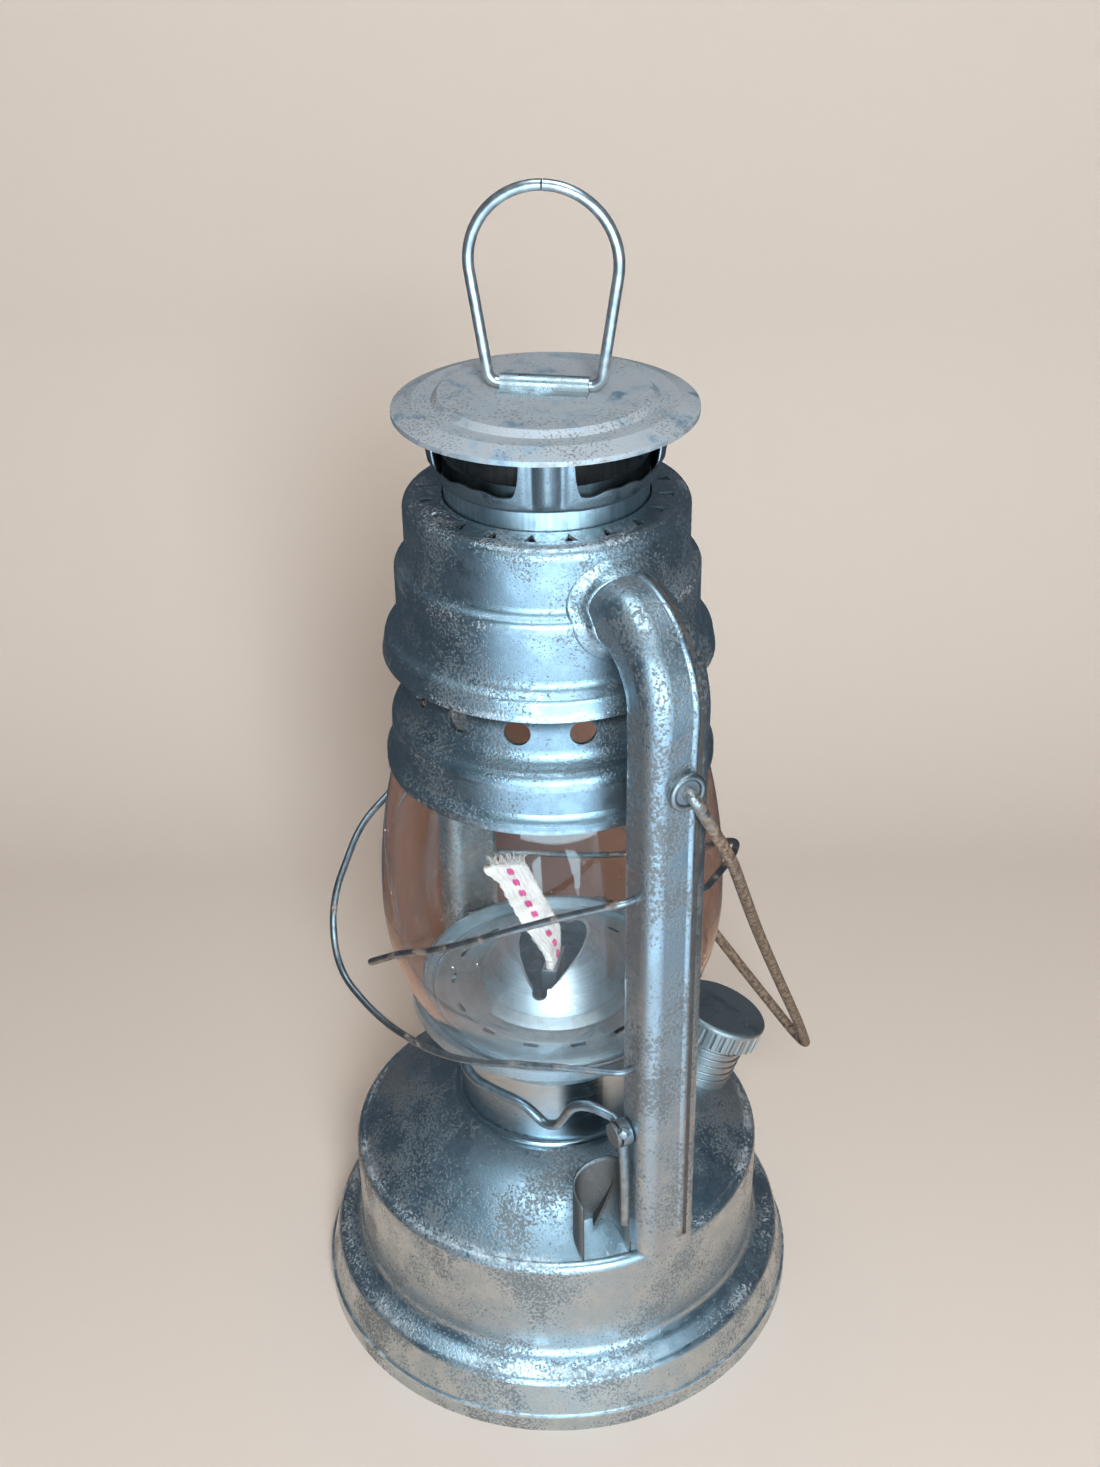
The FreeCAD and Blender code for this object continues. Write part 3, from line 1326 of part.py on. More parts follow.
filler_cap = turned(
    "filler_cap",
    [
        (FILLER_IN, FILLER_LOW),
        ("dim.filler_cap_radius", FILLER_LOW),
        ("dim.filler_cap_radius", "%s - dim.filler_cap_round" % FILLER_TOP),
        ("dim.filler_cap_radius - dim.filler_cap_round", FILLER_TOP, "dim.filler_cap_round", -1),
        ("0", FILLER_TOP),
        ("0", FILLER_UNDER),
        (FILLER_IN, FILLER_UNDER),
    ],
)
flute = round_hole(
    sketch_in(filler_cap, "flute", "XY_Plane", FILLER_LOW),
    "dim.filler_cap_radius + dim.flute_radius / 4",
    "0",
    "dim.flute_radius",
)
flute_cut = cut(filler_cap, flute, "dim.filler_cap_skirt - dim.filler_cap_round - dim.seat_gap")
round_pattern(filler_cap, flute_cut, "dim.flutes")
keep(place(filler_cap, filler_foot, *filler_turns))

# Guard wires round the globe: angle, distance off the globe in even gaps, share of the globe's height.
FRONT_ROUTE = [
    (-30, 1.1, 0.149),
    (-62, 1.0, 0.094),
    (-90, 1.55, 0.081),
    (-110, 3.45, 0.142),
    (-118.5, 3.6, 0.320),
    (-136, 2.35, 0.477),
    (-151, 1.25, 0.538),
]
CROSS_ROUTE = [
    (-27.4, 1.4, 0.661),
    (-48, 1.25, 0.570),
    (-64, 1.25, 0.477),
    (-77.5, 1.4, 0.408),
    (-94, 1.7, 0.279),
]
BACK_ROUTE = [
    (38, 1.1, 0.613),
    (63, 1.0, 0.511),
    (87, 1.0, 0.347),
    (112, 1.1, 0.197),
    (137, 1.15, 0.108),
]
FRONT_ENDS = (0.163, 0.607)
CROSS_END = 0.730
BACK_ENDS = (0.689, 0.087)


def guard_points(route):
    points = []
    for angle, gaps, share in route:
        reach = "dim.globe_radius + %s * dim.guard_gap" % gaps
        points.append(polar(angle, reach, "%s + %s * dim.globe_height" % (SEAT_Z, share)))
    return points


def guard_end(side, face, share):
    """Two points of a guard's end: on a tube's flat face and a stub away from it."""
    up = "%s + %s * dim.globe_height" % (SEAT_Z, share)
    spot = "%s + dim.fit" % TUBE_HALF
    across = "(%d) * %s" % (side, TUBE_R)
    return [
        point(across, "(%d) * (%s)" % (face, spot), up),
        point(across, "(%d) * (%s + dim.guard_stub)" % (face, spot), up),
    ]


NEAR = 1
FAR = -1
GUARD_WIRE = "dim.guard_wire / 2"
front_corners = guard_end(NEAR, -1, FRONT_ENDS[0]) + guard_points(FRONT_ROUTE)
front_corners += guard_end(FAR, -1, FRONT_ENDS[1])[::-1]
cross_corners = guard_end(NEAR, -1, CROSS_END) + guard_points(CROSS_ROUTE)
back_corners = guard_end(NEAR, 1, BACK_ENDS[0]) + guard_points(BACK_ROUTE)
back_corners += guard_end(FAR, 1, BACK_ENDS[1])[::-1]
keep(swept_wire("front_guard", bent_edges(front_corners), GUARD_WIRE))
keep(swept_wire("front_cross_wire", bent_edges(cross_corners), GUARD_WIRE))
keep(swept_wire("back_guard", bent_edges(back_corners), GUARD_WIRE))

# Lift lever: a wire arm under the globe plate, an eye on its pin and a handle over the dome. The arm's route
# gives an angle, then the distance off the collar and the height over its top in wire thicknesses.
PIVOT_X = "(%s - dim.lever_inset)" % TUBE_R
PIVOT_Z = "(%s + dim.lever_rise)" % COLLAR_Z
FACE_Y = "(%s + dim.fit)" % TUBE_HALF
LEVER_Y = "(-%s - dim.lever_gap - dim.lever_wire / 2)" % FACE_Y
EYE_MIDDLE = "(dim.lever_eye + dim.pin_radius) / 2"
LEVER_ROUTE = [
    (-68.0, 3.36, 1.64),
    (-54.0, 3.18, 1.0),
    (-41.5, 3.68, 0.77),
    (-32.6, 4.59, -0.82),
    (-27.5, 5.36, -0.18),
    (-22.5, 6.36, 3.09),
    (-17.6, 7.36, 3.73),
]
arm_corners = [
    polar(
        "dim.lever_tip_turn",
        "%s - dim.lever_tip_inset" % LIP_R,
        "%s - dim.lever_wire / 2 - dim.seat_gap" % PLATE_Z,
    )
]
for angle, beyond, rise in LEVER_ROUTE:
    reach = "dim.collar_radius + %s * dim.lever_wire" % beyond
    arm_corners.append(polar(angle, reach, "%s + (%s) * dim.lever_wire" % (COLLAR_Z, rise)))


def eye_point(angle, reach):
    """A point round the lever's eye, at an angle up from the lantern's axis side."""
    across = "%s - (%s) * cos(%s)" % (PIVOT_X, reach, angle)
    return point(across, LEVER_Y, "%s + (%s) * sin(%s)" % (PIVOT_Z, reach, angle))


arm_corners += [eye_point("dim.lever_arm_angle", "dim.lever_eye + dim.lever_wire / 4")]
arm_corners += [eye_point("dim.lever_arm_angle", EYE_MIDDLE)]
HANDLE_X = "%s + dim.lever_eye / 2" % PIVOT_X
handle_corners = [
    eye_point("dim.lever_handle_angle", EYE_MIDDLE),
    point(HANDLE_X, LEVER_Y, "%s - dim.lever_handle / 2" % PIVOT_Z),
    point(HANDLE_X, LEVER_Y, "%s - dim.lever_handle" % PIVOT_Z),
]
lever_arm = swept_wire("lever_arm", bent_edges(arm_corners), "dim.lever_wire / 2")
lever_handle = swept_wire("lever_handle", bent_edges(handle_corners), "dim.lever_wire / 2")
pivot = point(PIVOT_X, "-" + FACE_Y, PIVOT_Z)
lever_eye = turned(
    "lever_eye",
    box_outline("dim.pin_radius + dim.fit", "dim.lever_eye", "dim.lever_gap", "dim.lever_gap + dim.lever_wire"),
)
place(lever_eye, pivot, (X_AXIS, 90))
lift_lever = doc.addObject("Part::MultiFuse", "lift_lever")
lift_lever.Shapes = [lever_arm, lever_handle, lever_eye]
keep(lift_lever)
HEAD_Z = "(2 * dim.lever_gap + dim.lever_wire)"
lever_pin = turned(
    "lever_pin",
    [
        ("0", "0"),
        ("dim.pin_radius", "0"),
        ("dim.pin_radius", HEAD_Z),
        ("dim.pin_head", HEAD_Z),
        ("dim.pin_head", "%s + dim.pin_head_height" % HEAD_Z),
        ("0", "%s + dim.pin_head_height" % HEAD_Z),
    ],
)
keep(place(lever_pin, pivot, (X_AXIS, 90)))

doc.recompute()
for item in doc.Objects:
    if "Invalid" in item.State or "Error" in item.State:
        raise RuntimeError("%s failed: %s" % (item.Label, item.State))
for node in NODES:
    if node.Shape.isNull() or not node.Shape.isValid():
        raise RuntimeError("%s has no valid shape" % node.Label)

os.makedirs("parts", exist_ok=True)
for node in NODES:
    node.Shape.exportStep("parts/%s.step" % node.Label)
    box = node.Shape.BoundBox
    reach = " ".join("%6.1f" % end for end in (box.XMin, box.XMax, box.YMin, box.YMax, box.ZMin, box.ZMax))
    solids = len(node.Shape.Solids)
    print("%-18s solids %d, volume %9.1f, box %s" % (node.Label, solids, node.Shape.Volume, reach))
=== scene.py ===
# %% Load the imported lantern
import math

import bmesh
import bpy
from mathutils import Matrix, Vector, noise
from mathutils.bvhtree import BVHTree


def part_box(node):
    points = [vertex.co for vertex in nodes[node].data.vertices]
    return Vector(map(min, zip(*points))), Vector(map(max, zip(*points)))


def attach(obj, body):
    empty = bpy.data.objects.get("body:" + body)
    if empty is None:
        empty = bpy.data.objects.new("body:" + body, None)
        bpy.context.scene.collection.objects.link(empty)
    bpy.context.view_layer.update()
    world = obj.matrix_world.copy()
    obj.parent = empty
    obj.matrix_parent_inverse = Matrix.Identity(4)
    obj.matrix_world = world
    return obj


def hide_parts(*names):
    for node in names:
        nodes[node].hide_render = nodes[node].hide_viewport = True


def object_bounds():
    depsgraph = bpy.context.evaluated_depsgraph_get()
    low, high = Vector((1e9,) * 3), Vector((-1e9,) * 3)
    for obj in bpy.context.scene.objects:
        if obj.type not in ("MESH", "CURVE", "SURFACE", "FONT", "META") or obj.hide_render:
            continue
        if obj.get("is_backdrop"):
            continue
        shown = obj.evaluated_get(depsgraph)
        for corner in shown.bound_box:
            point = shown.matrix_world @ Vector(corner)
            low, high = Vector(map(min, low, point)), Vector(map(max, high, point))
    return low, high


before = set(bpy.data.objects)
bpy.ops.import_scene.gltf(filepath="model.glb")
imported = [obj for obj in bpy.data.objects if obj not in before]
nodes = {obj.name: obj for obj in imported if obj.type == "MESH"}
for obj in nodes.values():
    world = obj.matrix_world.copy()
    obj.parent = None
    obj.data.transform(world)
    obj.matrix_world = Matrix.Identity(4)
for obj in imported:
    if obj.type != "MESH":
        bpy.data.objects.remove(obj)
cad_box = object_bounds()
MM = 0.001

# %% [markdown]
# The picture of the lantern was taken from a little above the hood, beside the tube that carries the lift
# lever. A camera needs a place, a direction and a lens. The lens is given by its focal length over a 36
# mm sensor, which covers the long side of an upright picture, so the numbers below hold for any size of
# render.

# %% Camera
CAMERA_PLACE = Vector((280.4, -152.3, 335.0)) * MM
CAMERA_TURN = math.radians(61.5)
CAMERA_PITCH = math.radians(30.69)
CAMERA_ROLL = math.radians(-0.86)
CAMERA_LENS = 44.44
SENSOR_SIDE = 36.0

camera_data = bpy.data.cameras.new("picture_camera")
camera_data.lens = CAMERA_LENS
camera_data.sensor_width = SENSOR_SIDE
camera = bpy.data.objects.new("picture_camera", camera_data)
aim = Matrix.Rotation(CAMERA_TURN, 4, "Z") @ Matrix.Rotation(math.pi / 2 - CAMERA_PITCH, 4, "X")
camera.matrix_world = Matrix.Translation(CAMERA_PLACE) @ aim @ Matrix.Rotation(CAMERA_ROLL, 4, "Z")
bpy.context.scene.collection.objects.link(camera)
bpy.context.scene.camera = camera
bpy.context.scene.view_settings.view_transform = "Standard"
print("camera at", [round(v, 3) for v in CAMERA_PLACE])

# %% [markdown]
# Every material below is a small tree of nodes, and a few helpers keep those trees short. The first adds
# a node and fills its inputs. The others do arithmetic on numbers or vectors, spread a range of values
# over 0 to 1, blend two colours, make clouds of noise and place a shader group. An input is either a
# socket, which gets a link, or a plain value, which is set on the socket itself.

# %% Node helpers
def add(tree, kind, inputs=None, **settings):
    """Adds a node with its settings, and links or sets each of its inputs."""
    node = tree.nodes.new(kind)
    for name, setting in settings.items():
        setattr(node, name, setting)
    for key, given in (inputs or {}).items():
        if isinstance(given, bpy.types.NodeSocket):
            tree.links.new(given, node.inputs[key])
        else:
            node.inputs[key].default_value = given
    return node


def made(tree, kind, inputs=None, **settings):
    """Adds a node and gives its first output."""
    return add(tree, kind, inputs, **settings).outputs[0]


def maths(tree, operation, first, second=0.0):
    return made(tree, "ShaderNodeMath", {0: first, 1: second}, operation=operation)


def vectors(tree, operation, first, second=(0.0, 0.0, 0.0)):
    """Vector arithmetic: a dot product or a length comes out as a number, the rest as a vector."""
    node = add(tree, "ShaderNodeVectorMath", {0: first, 1: second}, operation=operation)
    return node.outputs["Value" if operation in ("DOT_PRODUCT", "LENGTH") else "Vector"]


def spread(tree, given, low, high, from_share=0.0, to_share=1.0):
    limits = {"Value": given, "From Min": low, "From Max": high, "To Min": from_share, "To Max": to_share}
    return add(tree, "ShaderNodeMapRange", limits, interpolation_type="SMOOTHSTEP").outputs["Result"]


def blend(tree, share, first, second, way="MIX"):
    inputs = {0: share, 6: first, 7: second}
    return add(tree, "ShaderNodeMix", inputs, data_type="RGBA", blend_type=way).outputs[2]


def cloud(tree, place, scale, detail=4.0, roughness=0.55):
    settings = {"Vector": place, "Scale": scale, "Detail": detail, "Roughness": roughness}
    return made(tree, "ShaderNodeTexNoise", settings)


def use_group(tree, group, inputs):
    return add(tree, "ShaderNodeGroup", inputs, node_tree=group).outputs


def rgb(red, green, blue):
    return (red, green, blue, 1.0)


def new_material(name):
    """An empty material: its tree, its shader and the place of each point on the piece."""
    material = bpy.data.materials.new(name)
    material.use_nodes = True
    tree = material.node_tree
    place = tree.nodes.new("ShaderNodeTexCoord").outputs["Object"]
    return material, tree, tree.nodes["Principled BSDF"], place


print("node helpers ready")

# %% [markdown]
# Worn tin shows whatever stands around it, so the surroundings matter as much as paint would on another
# object. Two small lamps stand over the right shoulder of the camera, so the shadow falls back and to the
# left. Mirrors don't see them, because their images would burn out on the tin. Two wide cool panels, one
# overhead and one in front, are seen only in mirrors: they whiten the dome, the foot and the flare of the
# hood. The room itself is pale to the camera, dark blue to a mirror and a warm light to everything else.

# %% Room and lamps
ROOM_SEEN = rgb(0.60, 0.545, 0.50)
ROOM_DARK = rgb(0.050, 0.085, 0.115)
ROOM_LIGHT = rgb(0.26, 0.165, 0.11)
LANTERN_MIDDLE = Vector((0.0, 0.0, 0.12))

world = bpy.data.worlds.new("dim_room")
world.use_nodes = True
air = world.node_tree
ray = add(air, "ShaderNodeLightPath").outputs
lit = blend(air, ray["Is Glossy Ray"], ROOM_LIGHT, ROOM_DARK)
seen = blend(air, ray["Is Camera Ray"], lit, ROOM_SEEN)
air.links.new(seen, air.nodes["Background"].inputs["Color"])
bpy.context.scene.world = world


def panel(name, place, width, height, power, colour):
    """A soft rectangular lamp that faces the middle of the lantern, in metres and watts."""
    data = bpy.data.lights.new(name, "AREA")
    data.shape = "RECTANGLE"
    data.size = width
    data.size_y = height
    data.energy = power
    data.color = colour
    lamp = bpy.data.objects.new(name, data)
    lamp.location = place
    lamp.rotation_euler = (LANTERN_MIDDLE - Vector(place)).to_track_quat("-Z", "Y").to_euler()
    bpy.context.scene.collection.objects.link(lamp)
    return lamp


for name, place, side, power, colour in (
    ("high_panel", (0.635, -0.265, 0.65), 0.24, 9.0, (1.0, 0.98, 0.96)),
    ("low_panel", (0.69, -0.218, 0.458), 0.17, 3.3, (0.80, 0.92, 1.0)),
):
    panel(name, place, side, side, power, colour).visible_glossy = False
for name, place, wide, tall, power, colour in (
    ("overhead_sheen", (0.09, -0.04, 0.95), 0.52, 0.52, 4.7, (0.62, 0.85, 1.0)),
    ("front_sheen", (0.82, -0.34, 0.34), 0.95, 0.60, 11.0, (0.60, 0.85, 1.0)),
):
    panel(name, place, wide, tall, power, colour).visible_diffuse = False
print("lamps", [light.name for light in bpy.data.lights])

# %% [markdown]
# The lantern stands on pale paper that curves up behind it. The paper is one surface: a floor, a quarter
# turn and an upright sheet, laid out along the camera's own direction so that it fills the picture.

# %% Paper
BACK_WAY = Vector((-math.sin(CAMERA_TURN), math.cos(CAMERA_TURN), 0.0))
SIDE_WAY = Vector((math.cos(CAMERA_TURN), math.sin(CAMERA_TURN), 0.0))
PAPER_FRONT, PAPER_TURN, PAPER_ROUND, PAPER_TOP, PAPER_HALF = -4.0, 0.16, 0.14, 1.6, 4.0
PAPER_STEPS = 24

paper_line = [(PAPER_FRONT, 0.0)]
for step in range(PAPER_STEPS + 1):
    angle = math.pi / 2 * step / PAPER_STEPS
    paper_line.append((PAPER_TURN + PAPER_ROUND * math.sin(angle), PAPER_ROUND * (1 - math.cos(angle))))
paper_line.append((PAPER_TURN + PAPER_ROUND, PAPER_TOP))
paper_points = []
for back, up in paper_line:
    for half in (-PAPER_HALF, PAPER_HALF):
        paper_points.append(BACK_WAY * back + SIDE_WAY * half + Vector((0, 0, up)))
paper_faces = [(2 * k, 2 * k + 1, 2 * k + 3, 2 * k + 2) for k in range(len(paper_line) - 1)]
paper_mesh = bpy.data.meshes.new("paper")
paper_mesh.from_pydata(paper_points, [], paper_faces)
paper_mesh.shade_smooth()
paper = bpy.data.objects.new("paper", paper_mesh)
bpy.context.scene.collection.objects.link(paper)
print("paper faces", len(paper_mesh.polygons))

# %% [markdown]
# The tin would mirror the whole bright floor, so away from the foot of the lantern mirrored rays see a
# painted
# reflection of a room instead: the paper glows for them, dark at the sides and cool in front, though it is no
# lamp. Near the foot they see a warmer paper, also a painted reflection. A ray bent by glass also counts as
# mirrored, so those are taken out first, and they see the paper in a painted brown shadow, the shade behind
# the lantern. From behind, the upright sheet is clear, so that the lantern can be seen from every side.

# %% Finish of the paper
PAPER_PALE, PAPER_DULL = rgb(0.545, 0.508, 0.467), rgb(0.525, 0.488, 0.45)
PAINTED_PAPER_REFLECTION, PAPER_SHADED = rgb(0.60, 0.485, 0.40), rgb(0.25, 0.142, 0.102)
PAINTED_DARK_REFLECTION, PAINTED_GLOW_REFLECTION = rgb(0.050, 0.065, 0.085), rgb(1.05, 1.55, 2.0)
FOOT_NEAR, FOOT_FAR = 0.10, 0.19
GLOW_NEAR, GLOW_FAR, LEAST_FORWARD = 0.08, 0.22, 0.05
GLOW_TURN, GLOW_FULL, GLOW_GONE = 0.30, 0.55, 1.4

paper_finish, tree, shader, place = new_material("pale_paper")
tint = blend(tree, cloud(tree, place, 2.2, 3.0), PAPER_PALE, PAPER_DULL)
ray = add(tree, "ShaderNodeLightPath").outputs
through_glass = ray["Is Transmission Ray"]
mirror_ray = maths(tree, "MAXIMUM", maths(tree, "SUBTRACT", ray["Is Glossy Ray"], through_glass), 0.0)
# Mirrored rays near the foot see a warmer painted reflection of the paper; rays through the glass see a
# painted brown shadow.
warm = blend(tree, mirror_ray, tint, PAINTED_PAPER_REFLECTION)
tree.links.new(blend(tree, through_glass, warm, PAPER_SHADED), shader.inputs["Base Color"])
shader.inputs["Roughness"].default_value = 0.6
shader.inputs["Specular IOR Level"].default_value = 0.15

forward = vectors(tree, "DOT_PRODUCT", place, -BACK_WAY)
sideways = vectors(tree, "DOT_PRODUCT", place, SIDE_WAY)
away = spread(tree, vectors(tree, "LENGTH", place), FOOT_NEAR, FOOT_FAR)
turned = maths(tree, "DIVIDE", sideways, maths(tree, "MAXIMUM", forward, LEAST_FORWARD))
off_middle = maths(tree, "ABSOLUTE", maths(tree, "SUBTRACT", turned, GLOW_TURN))
middle = spread(tree, off_middle, GLOW_FULL, GLOW_GONE, 1.0, 0.0)
glow_share = maths(tree, "MULTIPLY", spread(tree, forward, GLOW_NEAR, GLOW_FAR), middle)
# The glow is a painted reflection: an emission on the paper, dark at the sides and cool in front, that no
# lamp gives.
glow = made(tree, "ShaderNodeEmission", {"Color": blend(tree, glow_share, PAINTED_DARK_REFLECTION, PAINTED_GLOW_REFLECTION)})
beyond = maths(tree, "MULTIPLY", away, mirror_ray)
front = made(tree, "ShaderNodeMixShader", {0: beyond, 1: shader.outputs[0], 2: glow})
behind = add(tree, "ShaderNodeNewGeometry").outputs["Backfacing"]
clear = made(tree, "ShaderNodeBsdfTransparent")
sides = made(tree, "ShaderNodeMixShader", {0: behind, 1: front, 2: clear})
tree.links.new(sides, tree.nodes["Material Output"].inputs["Surface"])
paper_mesh.materials.append(paper_finish)
paper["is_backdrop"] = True
print("paper normal", [round(v, 2) for v in paper_mesh.polygons[0].normal])

# %% [markdown]
# Tin plate that has stood in a shed for years is bright only in part. Its plating has clouded to a dull
# grey in patches, and where it has worn through, the iron below shows as small dark specks that keep
# together in clusters. Clouds of noise at several sizes give all of this. They are worked out once, in a
# shader group that every tin surface uses with its own colours and sizes.

# %% Shader group for clouded and specked tin
def shader_group(name, inputs, outputs):
    tree = bpy.data.node_groups.new(name, "ShaderNodeTree")
    for label, kind in inputs.items():
        tree.interface.new_socket(label, in_out="INPUT", socket_type="NodeSocket" + kind)
    for label, kind in outputs.items():
        tree.interface.new_socket(label, in_out="OUTPUT", socket_type="NodeSocket" + kind)
    return tree, tree.nodes.new("NodeGroupInput").outputs, tree.nodes.new("NodeGroupOutput").inputs


CLUSTER_SHIFT, CLUSTER_SCALE = (0.37, 0.21, 0.53), 62.0
PATCH_EDGE, PATCH_SOFT = 0.80, 0.10
SPECK_EDGE, SPECK_SOFT, SPECK_DARKEST = 0.72, 0.20, 0.80

tin_wear, given, result = shader_group(
    "tin_wear",
    {
        "Place": "Vector", "Bright": "Color", "Dull": "Color", "Speck": "Color", "Patch Scale": "Float",
        "Patch Share": "Float", "Speck Scale": "Float", "Speck Share": "Float",
    },
    {"Color": "Color", "Dullness": "Float", "Specks": "Float", "Height": "Float"},
)
broad = cloud(tin_wear, given["Place"], given["Patch Scale"], 8.0, 0.72)
shifted = vectors(tin_wear, "ADD", given["Place"], CLUSTER_SHIFT)
cluster = cloud(tin_wear, shifted, CLUSTER_SCALE, 4.0, 0.6)
fine = cloud(tin_wear, given["Place"], given["Speck Scale"], 2.5, 0.6)
grain = cloud(tin_wear, shifted, maths(tin_wear, "MULTIPLY", given["Speck Scale"], 2.3), 2.0, 0.5)
edge = maths(tin_wear, "SUBTRACT", PATCH_EDGE, given["Patch Share"])
edge_low = maths(tin_wear, "SUBTRACT", edge, PATCH_SOFT)
patch = spread(tin_wear, broad, edge_low, maths(tin_wear, "ADD", edge, PATCH_SOFT))
where = spread(tin_wear, cluster, 0.30, 0.68, 0.25, 1.0)
limit = maths(tin_wear, "SUBTRACT", SPECK_EDGE, maths(tin_wear, "MULTIPLY", given["Speck Share"], where))
speck = spread(tin_wear, fine, limit, maths(tin_wear, "ADD", limit, SPECK_SOFT), 0.0, SPECK_DARKEST)
dullness = maths(tin_wear, "MULTIPLY", patch, spread(tin_wear, grain, 0.25, 0.62, 0.45, 1.0))
clouded = blend(tin_wear, dullness, given["Bright"], given["Dull"])
tin_wear.links.new(blend(tin_wear, speck, clouded, given["Speck"]), result["Color"])
tin_wear.links.new(dullness, result["Dullness"])
tin_wear.links.new(speck, result["Specks"])
pits = maths(tin_wear, "MULTIPLY", speck, -0.7)
tin_wear.links.new(maths(tin_wear, "ADD", pits, maths(tin_wear, "MULTIPLY", grain, 0.5)), result["Height"])
print("group", tin_wear.name, "nodes", len(tin_wear.nodes))

# %% [markdown]
# Spun and pressed sheet keeps faint rings from the tool, and a rolled sheet keeps straight streaks. Rings
# are noise read at the radius and the height of a point, so that it doesn't change round the axis.
# Streaks are noise that is stretched along the height. Raised edges are rubbed bright and other places
# are sooty, so a third small group marks a band of heights, whole or broken up.

# %% Shader groups for tool rings, streaks and rubbed bands
STREAK_STRETCH = (1.0, 1.0, 0.06)

tool_rings, given, result = shader_group(
    "tool_rings", {"Place": "Vector", "Scale": "Float"}, {"Rings": "Float"}
)
part = add(tool_rings, "ShaderNodeSeparateXYZ", {0: given["Place"]}).outputs
flat = made(tool_rings, "ShaderNodeCombineXYZ", {"X": part["X"], "Y": part["Y"]})
radius = vectors(tool_rings, "LENGTH", flat)
ring_place = made(tool_rings, "ShaderNodeCombineXYZ", {"X": radius, "Y": part["Z"]})
tool_rings.links.new(cloud(tool_rings, ring_place, given["Scale"], 3.0, 0.6), result["Rings"])

streaks, given, result = shader_group("streaks", {"Place": "Vector", "Scale": "Float"}, {"Streaks": "Float"})
squeezed = vectors(streaks, "MULTIPLY", given["Place"], STREAK_STRETCH)
streaks.links.new(cloud(streaks, squeezed, given["Scale"], 3.0, 0.6), result["Streaks"])

rubbed_band, given, result = shader_group(
    "rubbed_band",
    {"Place": "Vector", "Height": "Float", "Half": "Float"},
    {"Rubbed": "Float", "Band": "Float"},
)
part = add(rubbed_band, "ShaderNodeSeparateXYZ", {0: given["Place"]}).outputs
apart = maths(rubbed_band, "ABSOLUTE", maths(rubbed_band, "SUBTRACT", part["Z"], given["Height"]))
inside = spread(rubbed_band, maths(rubbed_band, "DIVIDE", apart, given["Half"]), 0.2, 1.0, 1.0, 0.0)
broken = spread(rubbed_band, cloud(rubbed_band, given["Place"], 420.0, 4.0, 0.65), 0.34, 0.60)
rubbed_band.links.new(maths(rubbed_band, "MULTIPLY", inside, broken), result["Rubbed"])
rubbed_band.links.new(inside, result["Band"])
print("groups", [group.name for group in bpy.data.node_groups])

# %% [markdown]
# One function then makes each tin finish. The dull patches scatter light like chalk, so they are rougher
# and less metallic, and the specks shine less. Rubbed bands turn the mix back towards clean metal, and
# dark bands darken it: on the bell's neck a dark band is a painted shadow under the hood, and on the
# chimney the dark bands are soot and painted shade inside the hood and the crown.

# %% Tin finish
CLEAN_TIN, SPECK_TIN = rgb(0.74, 0.78, 0.80), rgb(0.125, 0.125, 0.125)
RUBBED_CLEAN, DARK_BAND_LEFT = 0.75, 0.22
RING_SCALE, STREAK_SCALE = 1400.0, 700.0
SPECK_ROUGH, SPECK_MATT = 0.3, 0.4
DENT_DEEP = 0.3 * MM


def darkened(tree, colour, share):
    """A colour multiplied by a share that changes over the surface."""
    grey = made(tree, "ShaderNodeCombineColor", {0: share, 1: share, 2: share})
    return blend(tree, 1.0, colour, grey, "MULTIPLY")


def band_at(tree, place, level, half):
    """The masks of a band round a height, both in mm."""
    return use_group(tree, rubbed_band, {"Place": place, "Height": level * MM, "Half": half * MM})


